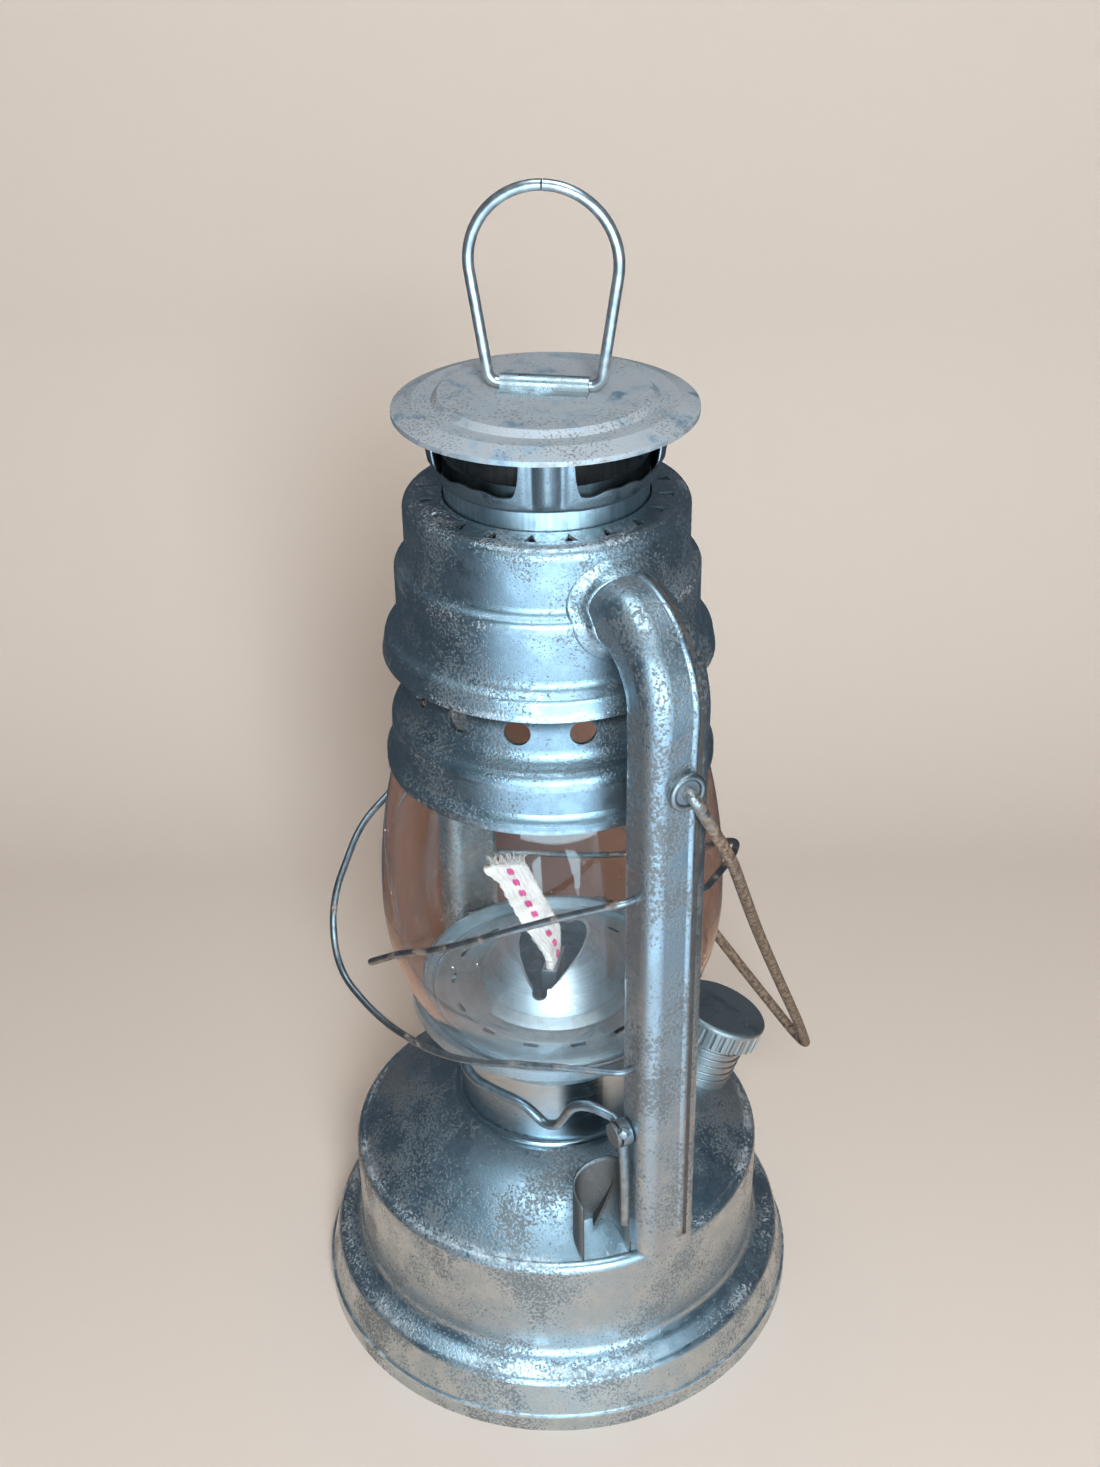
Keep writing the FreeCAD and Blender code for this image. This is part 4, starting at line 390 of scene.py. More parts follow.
def tin_finish(
    name, bright, dull, patch, speck, rough,
    chalk=0.03, rings=0.0, shade=0.0, streak=0.0, bands=(), soot_and_shade=(), dent=0.25,
):
    """Tin with (scale, share) of patches and of specks, and a range of roughness.

    Bands that are rubbed, and dark bands of soot and painted shade, are (height, half) in mm.
    """
    material, tree, shader, place = new_material(name)
    wear = use_group(tree, tin_wear, {
        "Place": place, "Bright": bright, "Dull": dull, "Speck": SPECK_TIN, "Patch Scale": patch[0],
        "Patch Share": patch[1], "Speck Scale": speck[0], "Speck Share": speck[1],
    })
    colour, dullness, height = wear["Color"], wear["Dullness"], wear["Height"]
    for level, half in bands:
        rubbed = band_at(tree, place, level, half)["Rubbed"]
        colour = blend(tree, maths(tree, "MULTIPLY", rubbed, RUBBED_CLEAN), colour, CLEAN_TIN)
        dullness = maths(tree, "MULTIPLY", dullness, maths(tree, "SUBTRACT", 1.0, rubbed))
    # A dark band is painted shade: the hood's shadow on the bell, soot and shade on the chimney.
    for level, half in soot_and_shade:
        band = band_at(tree, place, level, half)["Band"]
        colour = darkened(tree, colour, spread(tree, band, 0.0, 1.0, 1.0, DARK_BAND_LEFT))
    roughness = spread(tree, dullness, 0.0, 1.0, rough[0], rough[1])
    if rings:
        lines = use_group(tree, tool_rings, {"Place": place, "Scale": RING_SCALE})["Rings"]
        height = maths(tree, "ADD", height, maths(tree, "MULTIPLY", lines, rings))
        roughness = maths(tree, "ADD", roughness, spread(tree, lines, 0.3, 0.7, -0.05, 0.07))
        if shade:
            colour = darkened(tree, colour, spread(tree, lines, 0.34, 0.66, 1.0 - shade, 1.0))
    if streak:
        lines = use_group(tree, streaks, {"Place": place, "Scale": STREAK_SCALE})["Streaks"]
        colour = darkened(tree, colour, spread(tree, lines, 0.32, 0.68, 1.0 - streak, 1.0))
    roughness = maths(tree, "ADD", roughness, maths(tree, "MULTIPLY", wear["Specks"], SPECK_ROUGH))
    metal = maths(tree, "SUBTRACT", 1.0, maths(tree, "MULTIPLY", dullness, chalk))
    shine = maths(tree, "SUBTRACT", 1.0, maths(tree, "MULTIPLY", wear["Specks"], SPECK_MATT))
    bump = made(tree, "ShaderNodeBump", {"Strength": dent, "Distance": DENT_DEEP, "Height": height})
    tree.links.new(colour, shader.inputs["Base Color"])
    tree.links.new(roughness, shader.inputs["Roughness"])
    tree.links.new(maths(tree, "MULTIPLY", metal, shine), shader.inputs["Metallic"])
    tree.links.new(bump, shader.inputs["Normal"])
    return material


print("tin finish ready")

# %% [markdown]
# Each pressed piece has aged in its own place. The tank, the hood and the tubes are mottled all over, the
# chimney and the collar stay brighter, the cap is chalky from the weather, and the boots by the foot are
# painted dark, a painted shade for their hollows and the scoop's.

# %% Finishes of the tin pieces
COOL = rgb(0.54, 0.625, 0.675)
GREY = rgb(0.36, 0.43, 0.47)
finishes = {
    "tank": tin_finish(
        "tank_tin", COOL, rgb(0.42, 0.505, 0.55), (170.0, 0.31), (1700.0, 0.40), (0.29, 0.39),
        bands=((41.0, 1.0), (13.6, 0.8), (4.2, 0.6)),
    ),
    "hood": tin_finish(
        "hood_tin", COOL, GREY, (190.0, 0.34), (1900.0, 0.33), (0.29, 0.40),
        bands=((184.6, 1.4), (199.2, 0.9), (168.0, 0.9)),
    ),
    "bell": tin_finish(
        "bell_tin", rgb(0.49, 0.585, 0.635), GREY, (190.0, 0.33), (1900.0, 0.32), (0.28, 0.39),
        # The dark band on the bell's neck is a painted shadow of the hood above it.
        bands=((143.4, 0.7), (152.0, 0.8)), soot_and_shade=((166.5, 6.0),),
    ),
    "tube": tin_finish(
        "tube_tin", rgb(0.54, 0.615, 0.66), rgb(0.40, 0.44, 0.465), (190.0, 0.35), (1400.0, 0.42),
        (0.30, 0.42), chalk=0.05, dent=0.2,
    ),
    "chimney": tin_finish(
        "chimney_tin", rgb(0.80, 0.89, 0.93), GREY, (60.0, 0.20), (2200.0, 0.07), (0.34, 0.46),
        # The chimney's dark bands are soot and painted shade inside the hood and the crown.
        streak=0.25, soot_and_shade=((186.0, 13.5), (209.5, 5.6)),
    ),
    "crown": tin_finish(
        "crown_tin", rgb(0.46, 0.52, 0.56), rgb(0.31, 0.33, 0.345), (120.0, 0.36), (2000.0, 0.18),
        (0.24, 0.48),
    ),
    "cap": tin_finish(
        "cap_tin", rgb(0.45, 0.53, 0.595), rgb(0.36, 0.39, 0.415), (170.0, 0.40), (1900.0, 0.26),
        (0.56, 0.70), chalk=0.72, rings=0.1, bands=((216.0, 0.9),),
    ),
    "collar": tin_finish(
        "collar_tin", rgb(0.56, 0.64, 0.69), GREY, (90.0, 0.20), (2000.0, 0.08), (0.20, 0.36),
        rings=0.15, bands=((53.6, 0.9),),
    ),
    "burner": tin_finish(
        "burner_tin", rgb(0.52, 0.62, 0.68), rgb(0.38, 0.435, 0.46), (120.0, 0.24), (1800.0, 0.12),
        (0.44, 0.56), rings=0.12, shade=0.14,
    ),
    # The boot finish is painted dark: painted shade in the hollows of the boots and the scoop.
    "boot": tin_finish(
        "boot_tin_painted_shade", rgb(0.25, 0.28, 0.295), rgb(0.14, 0.14, 0.138), (110.0, 0.42), (1300.0, 0.24),
        (0.30, 0.50), chalk=0.2,
    ),
    "eyelet": tin_finish(
        "eyelet_tin", rgb(0.55, 0.58, 0.60), rgb(0.30, 0.29, 0.28), (240.0, 0.36), (2600.0, 0.18),
        (0.25, 0.5),
    ),
    "strap": tin_finish(
        "strap_tin", rgb(0.62, 0.65, 0.66), rgb(0.42, 0.41, 0.395), (140.0, 0.34), (2500.0, 0.14),
        (0.26, 0.5),
    ),
    "filler": tin_finish(
        "filler_tin", rgb(0.56, 0.59, 0.60), rgb(0.40, 0.40, 0.39), (130.0, 0.40), (2300.0, 0.15),
        (0.27, 0.5),
    ),
}
print("tin finishes", len(finishes))

# %% [markdown]
# The wires have each aged in their own way. The ring is galvanised and only a little dull, the guards are
# dark drawn steel, and the bail has rusted along most of its length. Rust grows in patches, is quite matt
# and stands a little proud of the wire, so the group puts out a mask, a colour and a height.

# %% Shader group for rust, and wire finishes
RUST_DARK, RUST_LIGHT = rgb(0.105, 0.068, 0.048), rgb(0.34, 0.25, 0.185)
RUST_EDGE, RUST_RANGE, RUST_SOFT = 0.82, 0.64, 0.08
RUST_ROUGH, RUST_METAL, WIRE_METAL = 0.75, 0.4, 0.92
RUB_HALF = 9.0

rust_bloom, given, result = shader_group(
    "rust_bloom",
    {"Place": "Vector", "Scale": "Float", "Share": "Float"},
    {"Rust": "Float", "Color": "Color", "Height": "Float"},
)
spots = cloud(rust_bloom, given["Place"], given["Scale"], 5.0, 0.65)
crumbs = cloud(rust_bloom, given["Place"], maths(rust_bloom, "MULTIPLY", given["Scale"], 6.0), 3.0, 0.6)
edge = maths(rust_bloom, "SUBTRACT", RUST_EDGE, maths(rust_bloom, "MULTIPLY", given["Share"], RUST_RANGE))
edge_low = maths(rust_bloom, "SUBTRACT", edge, RUST_SOFT)
rust = spread(rust_bloom, spots, edge_low, maths(rust_bloom, "ADD", edge, RUST_SOFT))
rust_bloom.links.new(rust, result["Rust"])
shades = blend(rust_bloom, spread(rust_bloom, crumbs, 0.3, 0.7), RUST_DARK, RUST_LIGHT)
rust_bloom.links.new(shades, result["Color"])
rust_bloom.links.new(maths(rust_bloom, "MULTIPLY", rust, crumbs), result["Height"])


def wire_finish(name, bare, share, scale, rough, clean_height=None, dent=0.5):
    """Drawn wire with a share of rust, and less near a height in mm where it rubs in its eyelet."""
    material, tree, shader, place = new_material(name)
    bloom = use_group(tree, rust_bloom, {"Place": place, "Scale": scale, "Share": share})
    rust = bloom["Rust"]
    if clean_height is not None:
        rubbed = band_at(tree, place, clean_height, RUB_HALF)["Rubbed"]
        rust = maths(tree, "MULTIPLY", rust, maths(tree, "SUBTRACT", 1.0, rubbed))
    tone = spread(tree, cloud(tree, place, scale * 1.7, 3.0), 0.3, 0.7, 0.62, 1.0)
    steel = darkened(tree, bare, tone)
    bump = made(tree, "ShaderNodeBump", {"Strength": dent, "Distance": DENT_DEEP, "Height": bloom["Height"]})
    tree.links.new(blend(tree, rust, steel, bloom["Color"]), shader.inputs["Base Color"])
    tree.links.new(spread(tree, rust, 0.0, 1.0, rough, RUST_ROUGH), shader.inputs["Roughness"])
    tree.links.new(spread(tree, rust, 0.0, 1.0, WIRE_METAL, RUST_METAL), shader.inputs["Metallic"])
    tree.links.new(bump, shader.inputs["Normal"])
    return material


finishes["ring"] = wire_finish("ring_wire", rgb(0.72, 0.76, 0.78), 0.16, 260.0, 0.30, dent=0.4)
finishes["guard"] = wire_finish("guard_wire", rgb(0.30, 0.325, 0.345), 0.34, 210.0, 0.34)
finishes["cross"] = wire_finish("cross_wire", rgb(0.34, 0.355, 0.37), 0.36, 190.0, 0.34)
finishes["bail"] = wire_finish(
    "bail_wire", rgb(0.50, 0.49, 0.47), 0.78, 170.0, 0.36, clean_height=158.0, dent=0.8
)
finishes["lever"] = wire_finish("lever_wire", rgb(0.36, 0.43, 0.48), 0.20, 240.0, 0.30)
finishes["spring"] = wire_finish("spring_wire", rgb(0.42, 0.43, 0.44), 0.30, 240.0, 0.35)
finishes["brass"] = wire_finish("burner_brass", rgb(0.60, 0.45, 0.20), 0.22, 260.0, 0.30)
print("finishes", sorted(finishes))

# %% [markdown]
# Old lamp glass is clear, with a faint film that softens its reflections here and there. It is one thick-
# walled shell, so a fully transmitting shader bends light at both of its skins. Shadow rays pass it
# almost freely, because otherwise the wick would stand in the dark. Cork is pressed from crumbs, which
# cells of noise give.

# %% Glass and cork
GLASS_IOR, FILM_ROUGH, SHADOW_PASS = 1.45, 0.09, 0.9
CORK_DARK, CORK_LIGHT = rgb(0.24, 0.13, 0.07), rgb(0.46, 0.29, 0.17)

finishes["glass"], tree, shader, place = new_material("globe_glass")
shader.inputs["Base Color"].default_value = rgb(0.985, 0.995, 0.99)
shader.inputs["Transmission Weight"].default_value = 1.0
shader.inputs["IOR"].default_value = GLASS_IOR
film = cloud(tree, place, 55.0, 5.0, 0.6)
tree.links.new(spread(tree, film, 0.52, 0.75, 0.0, FILM_ROUGH), shader.inputs["Roughness"])
shadow_ray = add(tree, "ShaderNodeLightPath").outputs["Is Shadow Ray"]
passing = maths(tree, "MULTIPLY", shadow_ray, SHADOW_PASS)
tree.links.new(maths(tree, "SUBTRACT", 1.0, passing), shader.inputs["Alpha"])

finishes["cork"], tree, shader, place = new_material("cap_cork")
crumb = add(tree, "ShaderNodeTexVoronoi", {"Vector": place, "Scale": 900.0}).outputs["Color"]
tone = made(tree, "ShaderNodeSeparateColor", {0: crumb})
tree.links.new(blend(tree, tone, CORK_DARK, CORK_LIGHT), shader.inputs["Base Color"])
shader.inputs["Roughness"].default_value = 0.85
bump = made(tree, "ShaderNodeBump", {"Strength": 0.4, "Distance": DENT_DEEP, "Height": tone})
tree.links.new(bump, shader.inputs["Normal"])
print("glass and cork ready")

# %% [markdown]
# The pressed and turned pieces already have their real shape in the frame, so they keep it and only take
# a finish.

# %% Finishes on the frame's own pieces
WEARS = {
    "tank": ("tank_shell", "tank_bottom"),
    "hood": ("hood_shell",),
    "bell": ("bell",),
    "tube": ("right_tube", "left_tube"),
    "chimney": ("chimney_tube",),
    "crown": ("crown",),
    "cap": ("cap",),
    "collar": ("burner_collar",),
    "burner": ("burner_body", "burner_cone", "globe_plate", "wick_tube"),
    "boot": ("right_boot", "left_boot"),
    "eyelet": ("right_eyelet", "left_eyelet", "lever_pin"),
    "strap": ("ring_strap",),
    "filler": ("filler_neck", "filler_cap"),
    "ring": ("ring_handle",),
    "guard": ("front_guard", "back_guard"),
    "cross": ("front_cross_wire",),
    "bail": ("bail",),
    "lever": ("lift_lever",),
    "spring": ("chimney_spring",),
    "brass": ("wick_shaft", "wick_wheel_inner", "wick_wheel_outer", "wick_knob"),
    "glass": ("glass_globe",),
    "cork": ("filler_gasket",),
}
for finish, names in WEARS.items():
    for name in names:
        nodes[name].data.materials.clear()
        nodes[name].data.materials.append(finishes[finish])
print("without a finish yet", sorted(set(nodes) - {name for names in WEARS.values() for name in names}))

# %% [markdown]
# A flat lamp wick is a woven cotton tape. It stands straight in its tube, then turns and leans over above
# the notch of the burner. One function gives any point of it: the height sets how far the tape leans and
# twists, and the average over a few near heights rounds off the bends.

# %% Line of the wick
wick_low, wick_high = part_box("wick")
WICK_FREE, WICK_REACH = 26.0, 9.8
WICK_FOOT = wick_high.z / MM - WICK_FREE
BURNER_TURN, WICK_TWIST = math.radians(-41.5), math.radians(-77.0)
WICK_BENDS = (
    (0.0, 0.0, 0.0), (3.05, 0.0, 0.0), (7.28, 0.16, 0.36), (13.0, 0.44, 0.84), (WICK_FREE, 1.0, 1.0),
)
NEAR_HEIGHTS = (-1.6, -0.8, 0.0, 0.8, 1.6)


def wick_bend(up):
    """Share of the lean and of the twist at a height above the burner's notch, in mm."""
    if up <= 0:
        return 0.0, 0.0
    for (low, lean_low, twist_low), (high, lean_high, twist_high) in zip(WICK_BENDS, WICK_BENDS[1:]):
        if up <= high:
            share = (up - low) / (high - low)
            return lean_low + share * (lean_high - lean_low), twist_low + share * (twist_high - twist_low)
    return 1.0 + (up - WICK_FREE) / WICK_FREE, 1.0


def wick_point(up, across, out):
    """A point of the wick in metres, from mm over the notch, across the tape and out from its middle."""
    near = [wick_bend(up + shift) for shift in NEAR_HEIGHTS]
    lean = sum(pair[0] for pair in near) / len(near) * WICK_REACH
    turn = BURNER_TURN + WICK_TWIST * sum(pair[1] for pair in near) / len(near)
    way = BURNER_TURN + WICK_TWIST
    middle = Vector((lean * math.cos(way), lean * math.sin(way), WICK_FOOT + up))
    wide = Vector((math.cos(turn), math.sin(turn), 0.0))
    thick = Vector((-math.sin(turn), math.cos(turn), 0.0))
    return (middle + wide * across + thick * out) * MM


print("top of the wick", [round(v / MM, 1) for v in wick_point(WICK_FREE, 0.0, 0.0)])

# %% [markdown]
# The tape's section is swept up that line. Each point is moved in or out a little by the over and under
# of the weave, so that the tape has real threads along its edges, and near the top one side flares out.

# %% Wick
FACE_HALF, FACE_OUT, FACE_STEPS = 3.7, 0.78, 44
TAPE_EDGE = [(3.88, 0.45), (3.93, 0.0)]
PLAIN_LEVELS = [wick_low.z / MM - WICK_FOOT + 0.2, -30.0, -6.0]
WEAVE_LOW, WEAVE_STEP, WEAVE_LENGTH = -2.0, 0.3, WICK_FREE + 1.7
CORD, PICK, CORD_HIGH, PICK_HIGH = 1.05, 0.95, 0.20, 0.09
FLAP_BELOW, FLAP_RISE, FLAP_WIDE, FLAP_DROP, TAPE_HALF = 4.6, 3.2, 1.7, 0.5, 3.9
RAGGED_SHARE = 0.25

half_ring = [(-FACE_HALF + 2 * FACE_HALF * k / FACE_STEPS, FACE_OUT) for k in range(FACE_STEPS + 1)]
half_ring += TAPE_EDGE
wick_ring = half_ring + [(-across, -out) for across, out in half_ring]
weave_levels = [WEAVE_LOW + WEAVE_STEP * k for k in range(int(WEAVE_LENGTH / WEAVE_STEP) + 1)]
wick_levels = PLAIN_LEVELS + weave_levels


def new_piece(name, points, faces, *materials):
    """A smooth mesh piece at the origin, with its faces turned outwards."""
    mesh = bpy.data.meshes.new(name)
    mesh.from_pydata([tuple(p) for p in points], [], faces)
    form = bmesh.new()
    form.from_mesh(mesh)
    bmesh.ops.recalc_face_normals(form, faces=form.faces)
    form.to_mesh(mesh)
    form.free()
    mesh.shade_smooth()
    for material in materials:
        mesh.materials.append(material)
    piece = bpy.data.objects.new(name, mesh)
    bpy.context.scene.collection.objects.link(piece)
    return piece


def tube_faces(rings, size):
    """Faces of a closed tube of rings, with a flat face on each end."""
    faces = []
    for ring in range(rings - 1):
        for k in range(size):
            a, b = ring * size + k, ring * size + (k + 1) % size
            faces.append((a, b, b + size, a + size))
    return faces + [tuple(range(size))[::-1], tuple(range((rings - 1) * size, rings * size))]


def ragged(up):
    """How far the edge of the tape wanders at a height: two waves that don't fall together."""
    return 0.14 * math.sin(up * 2.9) + 0.10 * math.sin(up * 5.3 + 1.0)


wick_points = []
for number, up in enumerate(wick_levels):
    woven = number >= len(PLAIN_LEVELS)
    head = min(max((up - WICK_FREE + FLAP_BELOW) / FLAP_RISE, 0.0), 1.0)
    edge = ragged(up) if woven else 0.0
    for across, out in wick_ring:
        rib = abs(math.sin(math.pi * across / CORD)) - 0.5 if woven else 0.0
        twist = math.sin(math.pi * (2 * up / PICK + across / CORD)) if woven else 0.0
        flap = FLAP_WIDE * head * max(across, 0.0) / TAPE_HALF
        bulge = (CORD_HIGH * rib + PICK_HIGH * twist) * (1 if out >= 0 else -1)
        wide = across * (1 + RAGGED_SHARE * edge) + flap
        wick_points.append(wick_point(up - FLAP_DROP * flap, wide, out + bulge))

finishes["cotton"], tree, shader, place = new_material("wick_cotton")
soil = cloud(tree, place, 260.0, 4.0, 0.6)
fuzz = cloud(tree, place, 3200.0, 3.0, 0.6)
tape = blend(tree, spread(tree, soil, 0.35, 0.75), rgb(0.42, 0.405, 0.39), rgb(0.29, 0.27, 0.25))
tree.links.new(tape, shader.inputs["Base Color"])
tree.links.new(spread(tree, fuzz, 0.2, 0.8, 0.8, 0.98), shader.inputs["Roughness"])
shader.inputs["Sheen Weight"].default_value = 0.3
bump = made(tree, "ShaderNodeBump", {"Strength": 0.5, "Distance": 0.2 * MM, "Height": fuzz})
tree.links.new(bump, shader.inputs["Normal"])

wick_tape = new_piece(
    "wick_tape", wick_points, tube_faces(len(wick_levels), len(wick_ring)), finishes["cotton"]
)
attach(wick_tape, "wick_strip")
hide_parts("wick")
print("wick levels", len(wick_levels), "faces", len(wick_tape.data.polygons))

# %% [markdown]
# The crown between the chimney and the cap is a pressed cup with four ribbed columns. Its lower edge
# turns in round the chimney, and the sheet between the columns is cut away in long openings with a wavy
# edge. Each upright line of the mesh simply ends where the sheet ends at that angle, and Solidify gives
# the sheet its thickness. Its inside is near-black, soot with painted shade, so that the openings look dark.

# %% Crown
CROWN_LINE = (
    (19.95, 203.3), (20.5, 203.45), (21.1, 204.2), (21.6, 205.8), (22.0, 208.5), (22.25, 212.0),
    (22.4, 216.2),
)
CROWN_LOW, CROWN_TOP = CROWN_LINE[0][1], CROWN_LINE[-1][1]
CROWN_STEPS, CROWN_LEVELS = 360, 22
COLUMN_APART, FIRST_COLUMN, COLUMN_HALF, COLUMN_ROUND = 90.0, -28.5, 12.5, 5.0
RIB_OUT, RIB_HALF, RIB_RUN = 0.75, 3.6, 2.5
GROOVE_IN, GROOVE_AT, GROOVE_HALF = 0.65, 7.5, 2.2
OPENING_LOW, SHEET_THICK = 206.7, 0.5


def crown_radius(up):
    for (low_r, low), (high_r, high) in zip(CROWN_LINE, CROWN_LINE[1:]):
        if up <= high:
            return low_r + (high_r - low_r) * (up - low) / (high - low)
    return CROWN_LINE[-1][0]


def wavy_edge(angle):
    """Height of the lower edge of the openings at an angle in degrees."""
    waves = 0.28 * math.sin(math.radians(9 * angle)) + 0.18 * math.sin(math.radians(23 * angle + 40))
    return OPENING_LOW + waves


crown_points = []
for step in range(CROWN_STEPS):
    angle = step * 360.0 / CROWN_STEPS
    way = math.radians(angle)
    apart = (angle - FIRST_COLUMN + COLUMN_APART / 2) % COLUMN_APART - COLUMN_APART / 2
    rise = min(max((COLUMN_HALF + COLUMN_ROUND - abs(apart)) / COLUMN_ROUND, 0.0), 1.0)
    top = wavy_edge(angle) + (CROWN_TOP - wavy_edge(angle)) * (1 - math.sqrt(1 - rise * rise))
    groove = GROOVE_IN * math.exp(-(((abs(apart) - GROOVE_AT) / GROOVE_HALF) ** 2))
    rib = RIB_OUT * math.exp(-((apart / RIB_HALF) ** 2)) - groove
    for level in range(CROWN_LEVELS):
        up = CROWN_LOW + (top - CROWN_LOW) * level / (CROWN_LEVELS - 1)
        reach = crown_radius(up) + rib * min((up - CROWN_LOW) / RIB_RUN, 1.0)
        crown_points.append(Vector((reach * math.cos(way), reach * math.sin(way), up)) * MM)
crown_faces = []
for step in range(CROWN_STEPS):
    after = (step + 1) % CROWN_STEPS
    for level in range(CROWN_LEVELS - 1):
        a, b = step * CROWN_LEVELS + level, after * CROWN_LEVELS + level
        crown_faces.append((a, b, b + 1, a + 1))

# The crown's inside is painted near-black: soot, and painted shade in the cup so that the openings look dark.
finishes["soot_and_shade"], tree, shader, place = new_material("crown_shade_and_carbon")
black = blend(tree, cloud(tree, place, 300.0, 4.0), rgb(0.006, 0.006, 0.006), rgb(0.022, 0.02, 0.018))
tree.links.new(black, shader.inputs["Base Color"])
shader.inputs["Roughness"].default_value = 0.9
shader.inputs["Specular IOR Level"].default_value = 0.08

crown_cup = new_piece("crown_cup", crown_points, crown_faces, finishes["crown"], finishes["soot_and_shade"])
wall = crown_cup.modifiers.new("sheet", "SOLIDIFY")
wall.thickness = SHEET_THICK * MM
wall.offset = -1.0
wall.material_offset = 1
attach(crown_cup, "chimney")
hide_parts("crown")

# %% [markdown]
# Stitches, frayed threads, screw threads and dust all repeat, so Geometry Nodes make them. The helpers
# below start a tree with named sizes, space points along a line, set copies on points and make them real,
# and run a tree on a mesh. The last one bakes the result into a plain mesh and leaves no modifier behind.

# %% Geometry Nodes helpers
def form_tree(name, sizes):
    """A geometry tree with a mesh going in, named sizes and a material, and what its end node takes."""
    tree = bpy.data.node_groups.new(name, "GeometryNodeTree")
    tree.interface.new_socket("Geometry", in_out="INPUT", socket_type="NodeSocketGeometry")
    for label, kind in sizes.items():
        tree.interface.new_socket(label, in_out="INPUT", socket_type="NodeSocket" + kind)
    tree.interface.new_socket("Finish", in_out="INPUT", socket_type="NodeSocketMaterial")
    tree.interface.new_socket("Geometry", in_out="OUTPUT", socket_type="NodeSocketGeometry")
    return tree, tree.nodes.new("NodeGroupInput").outputs


def spaced_along(tree, given):
    """Evenly spaced points on a line, and the turn that lays a copy along it."""
    line = made(tree, "GeometryNodeMeshToCurve", {0: given["Geometry"]})
    spots = made(tree, "GeometryNodeResampleCurve", {0: line, "Length": given["Spacing"]}, mode="LENGTH")
    along = made(tree, "GeometryNodeInputTangent")
    return spots, made(tree, "FunctionNodeAlignRotationToVector", {"Vector": along}, axis="Z")


def end_tree(tree, given, copies):
    """Sets copies of an instance on points, makes them real and gives them the finish."""
    instances = made(tree, "GeometryNodeInstanceOnPoints", copies)
    real = made(tree, "GeometryNodeRealizeInstances", {0: instances})
    dressed = made(tree, "GeometryNodeSetMaterial", {"Geometry": real, "Material": given["Finish"]})
    tree.links.new(dressed, tree.nodes.new("NodeGroupOutput").inputs[0])


def run_tree(tree, name, points, edges, faces, body, slot, **sizes):
    """Runs a tree on a mesh and bakes it into a plain piece that rides on a body."""
    mesh = bpy.data.meshes.new(name + "_guide")
    mesh.from_pydata([tuple(p) for p in points], edges, faces)
    guide = bpy.data.objects.new(name + "_guide", mesh)
    bpy.context.scene.collection.objects.link(guide)
    modifier = guide.modifiers.new("form", "NODES")
    modifier.node_group = tree
    for item in tree.interface.items_tree:
        if item.in_out == "INPUT" and item.name in sizes:
            modifier[item.identifier] = sizes[item.name]
    graph = bpy.context.evaluated_depsgraph_get()
    baked = bpy.data.meshes.new_from_object(guide.evaluated_get(graph), depsgraph=graph)
    guide.modifiers.clear()
    bpy.data.objects.remove(guide)
    baked.name = name
    baked.shade_smooth()
    piece = bpy.data.objects.new(name, baked)
    bpy.context.scene.collection.objects.link(piece)
    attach(piece, body)
    print(name, "faces", len(baked.polygons))


print("geometry helpers ready")

# %% [markdown]
# A double row of coloured stitches runs up each face of the wick. Each stitch is a short plump dash that
# follows the tape, so the tree turns a line into evenly spaced points and lays one stretched ball on
# each, along the line.

# %% Stitches on the wick
ROW_OUT, ROW_ASIDE, ROW_START, ROW_STEP, ROW_SHORT = 0.92, 0.33, 1.6, 0.5, 1.0

stitch_row, given = form_tree("stitch_row", {"Spacing": "Float", "Length": "Float", "Radius": "Float"})
beads, turned = spaced_along(stitch_row, given)
ball = made(stitch_row, "GeometryNodeMeshUVSphere", {"Segments": 10, "Rings": 6, "Radius": 1.0})
half = maths(stitch_row, "MULTIPLY", given["Length"], 0.5)
shape = made(stitch_row, "ShaderNodeCombineXYZ", {0: given["Radius"], 1: given["Radius"], 2: half})
end_tree(stitch_row, given, {"Points": beads, "Instance": ball, "Rotation": turned, "Scale": shape})

finishes["stitch"], tree, shader, place = new_material("stitch_thread")
tone = cloud(tree, place, 2400.0, 2.0)
tree.links.new(blend(tree, tone, rgb(0.40, 0.03, 0.14), rgb(0.24, 0.016, 0.085)), shader.inputs["Base Color"])
shader.inputs["Roughness"].default_value = 0.75

row_count = int((WICK_FREE - ROW_START - ROW_SHORT) / ROW_STEP)
stitch_points, stitch_edges = [], []
for out in (ROW_OUT, -ROW_OUT):
    for across in (-ROW_ASIDE, ROW_ASIDE):
        first = len(stitch_points)
        stitch_points += [wick_point(ROW_START + ROW_STEP * k, across, out) for k in range(row_count)]
        stitch_edges += [(first + k, first + k + 1) for k in range(row_count - 1)]
run_tree(
    stitch_row, "wick_stitches", stitch_points, stitch_edges, [], "wick_strip", "cotton",
    Spacing=2.8 * MM, Length=1.9 * MM, Radius=0.40 * MM, Finish=finishes["stitch"],
)

# %% [markdown]
# The top of the wick is frayed: its threads stand up, splay to both sides and curl over. One curved
# thread is made from a bent curve, and many are set along the top edge with random turns and lengths from
# a fixed seed.

# %% Frayed threads
THREAD_HALF, THREAD_SPIN, THREAD_SHORT, THREAD_LONG = 0.045, 3.14, 0.55, 1.25
TURN_SEED, LENGTH_SEED = 7, 3
FRAY_BELOW, FRAY_STEPS, FRAY_ROWS = 0.5, 8, (-0.6, -0.2, 0.2, 0.6)

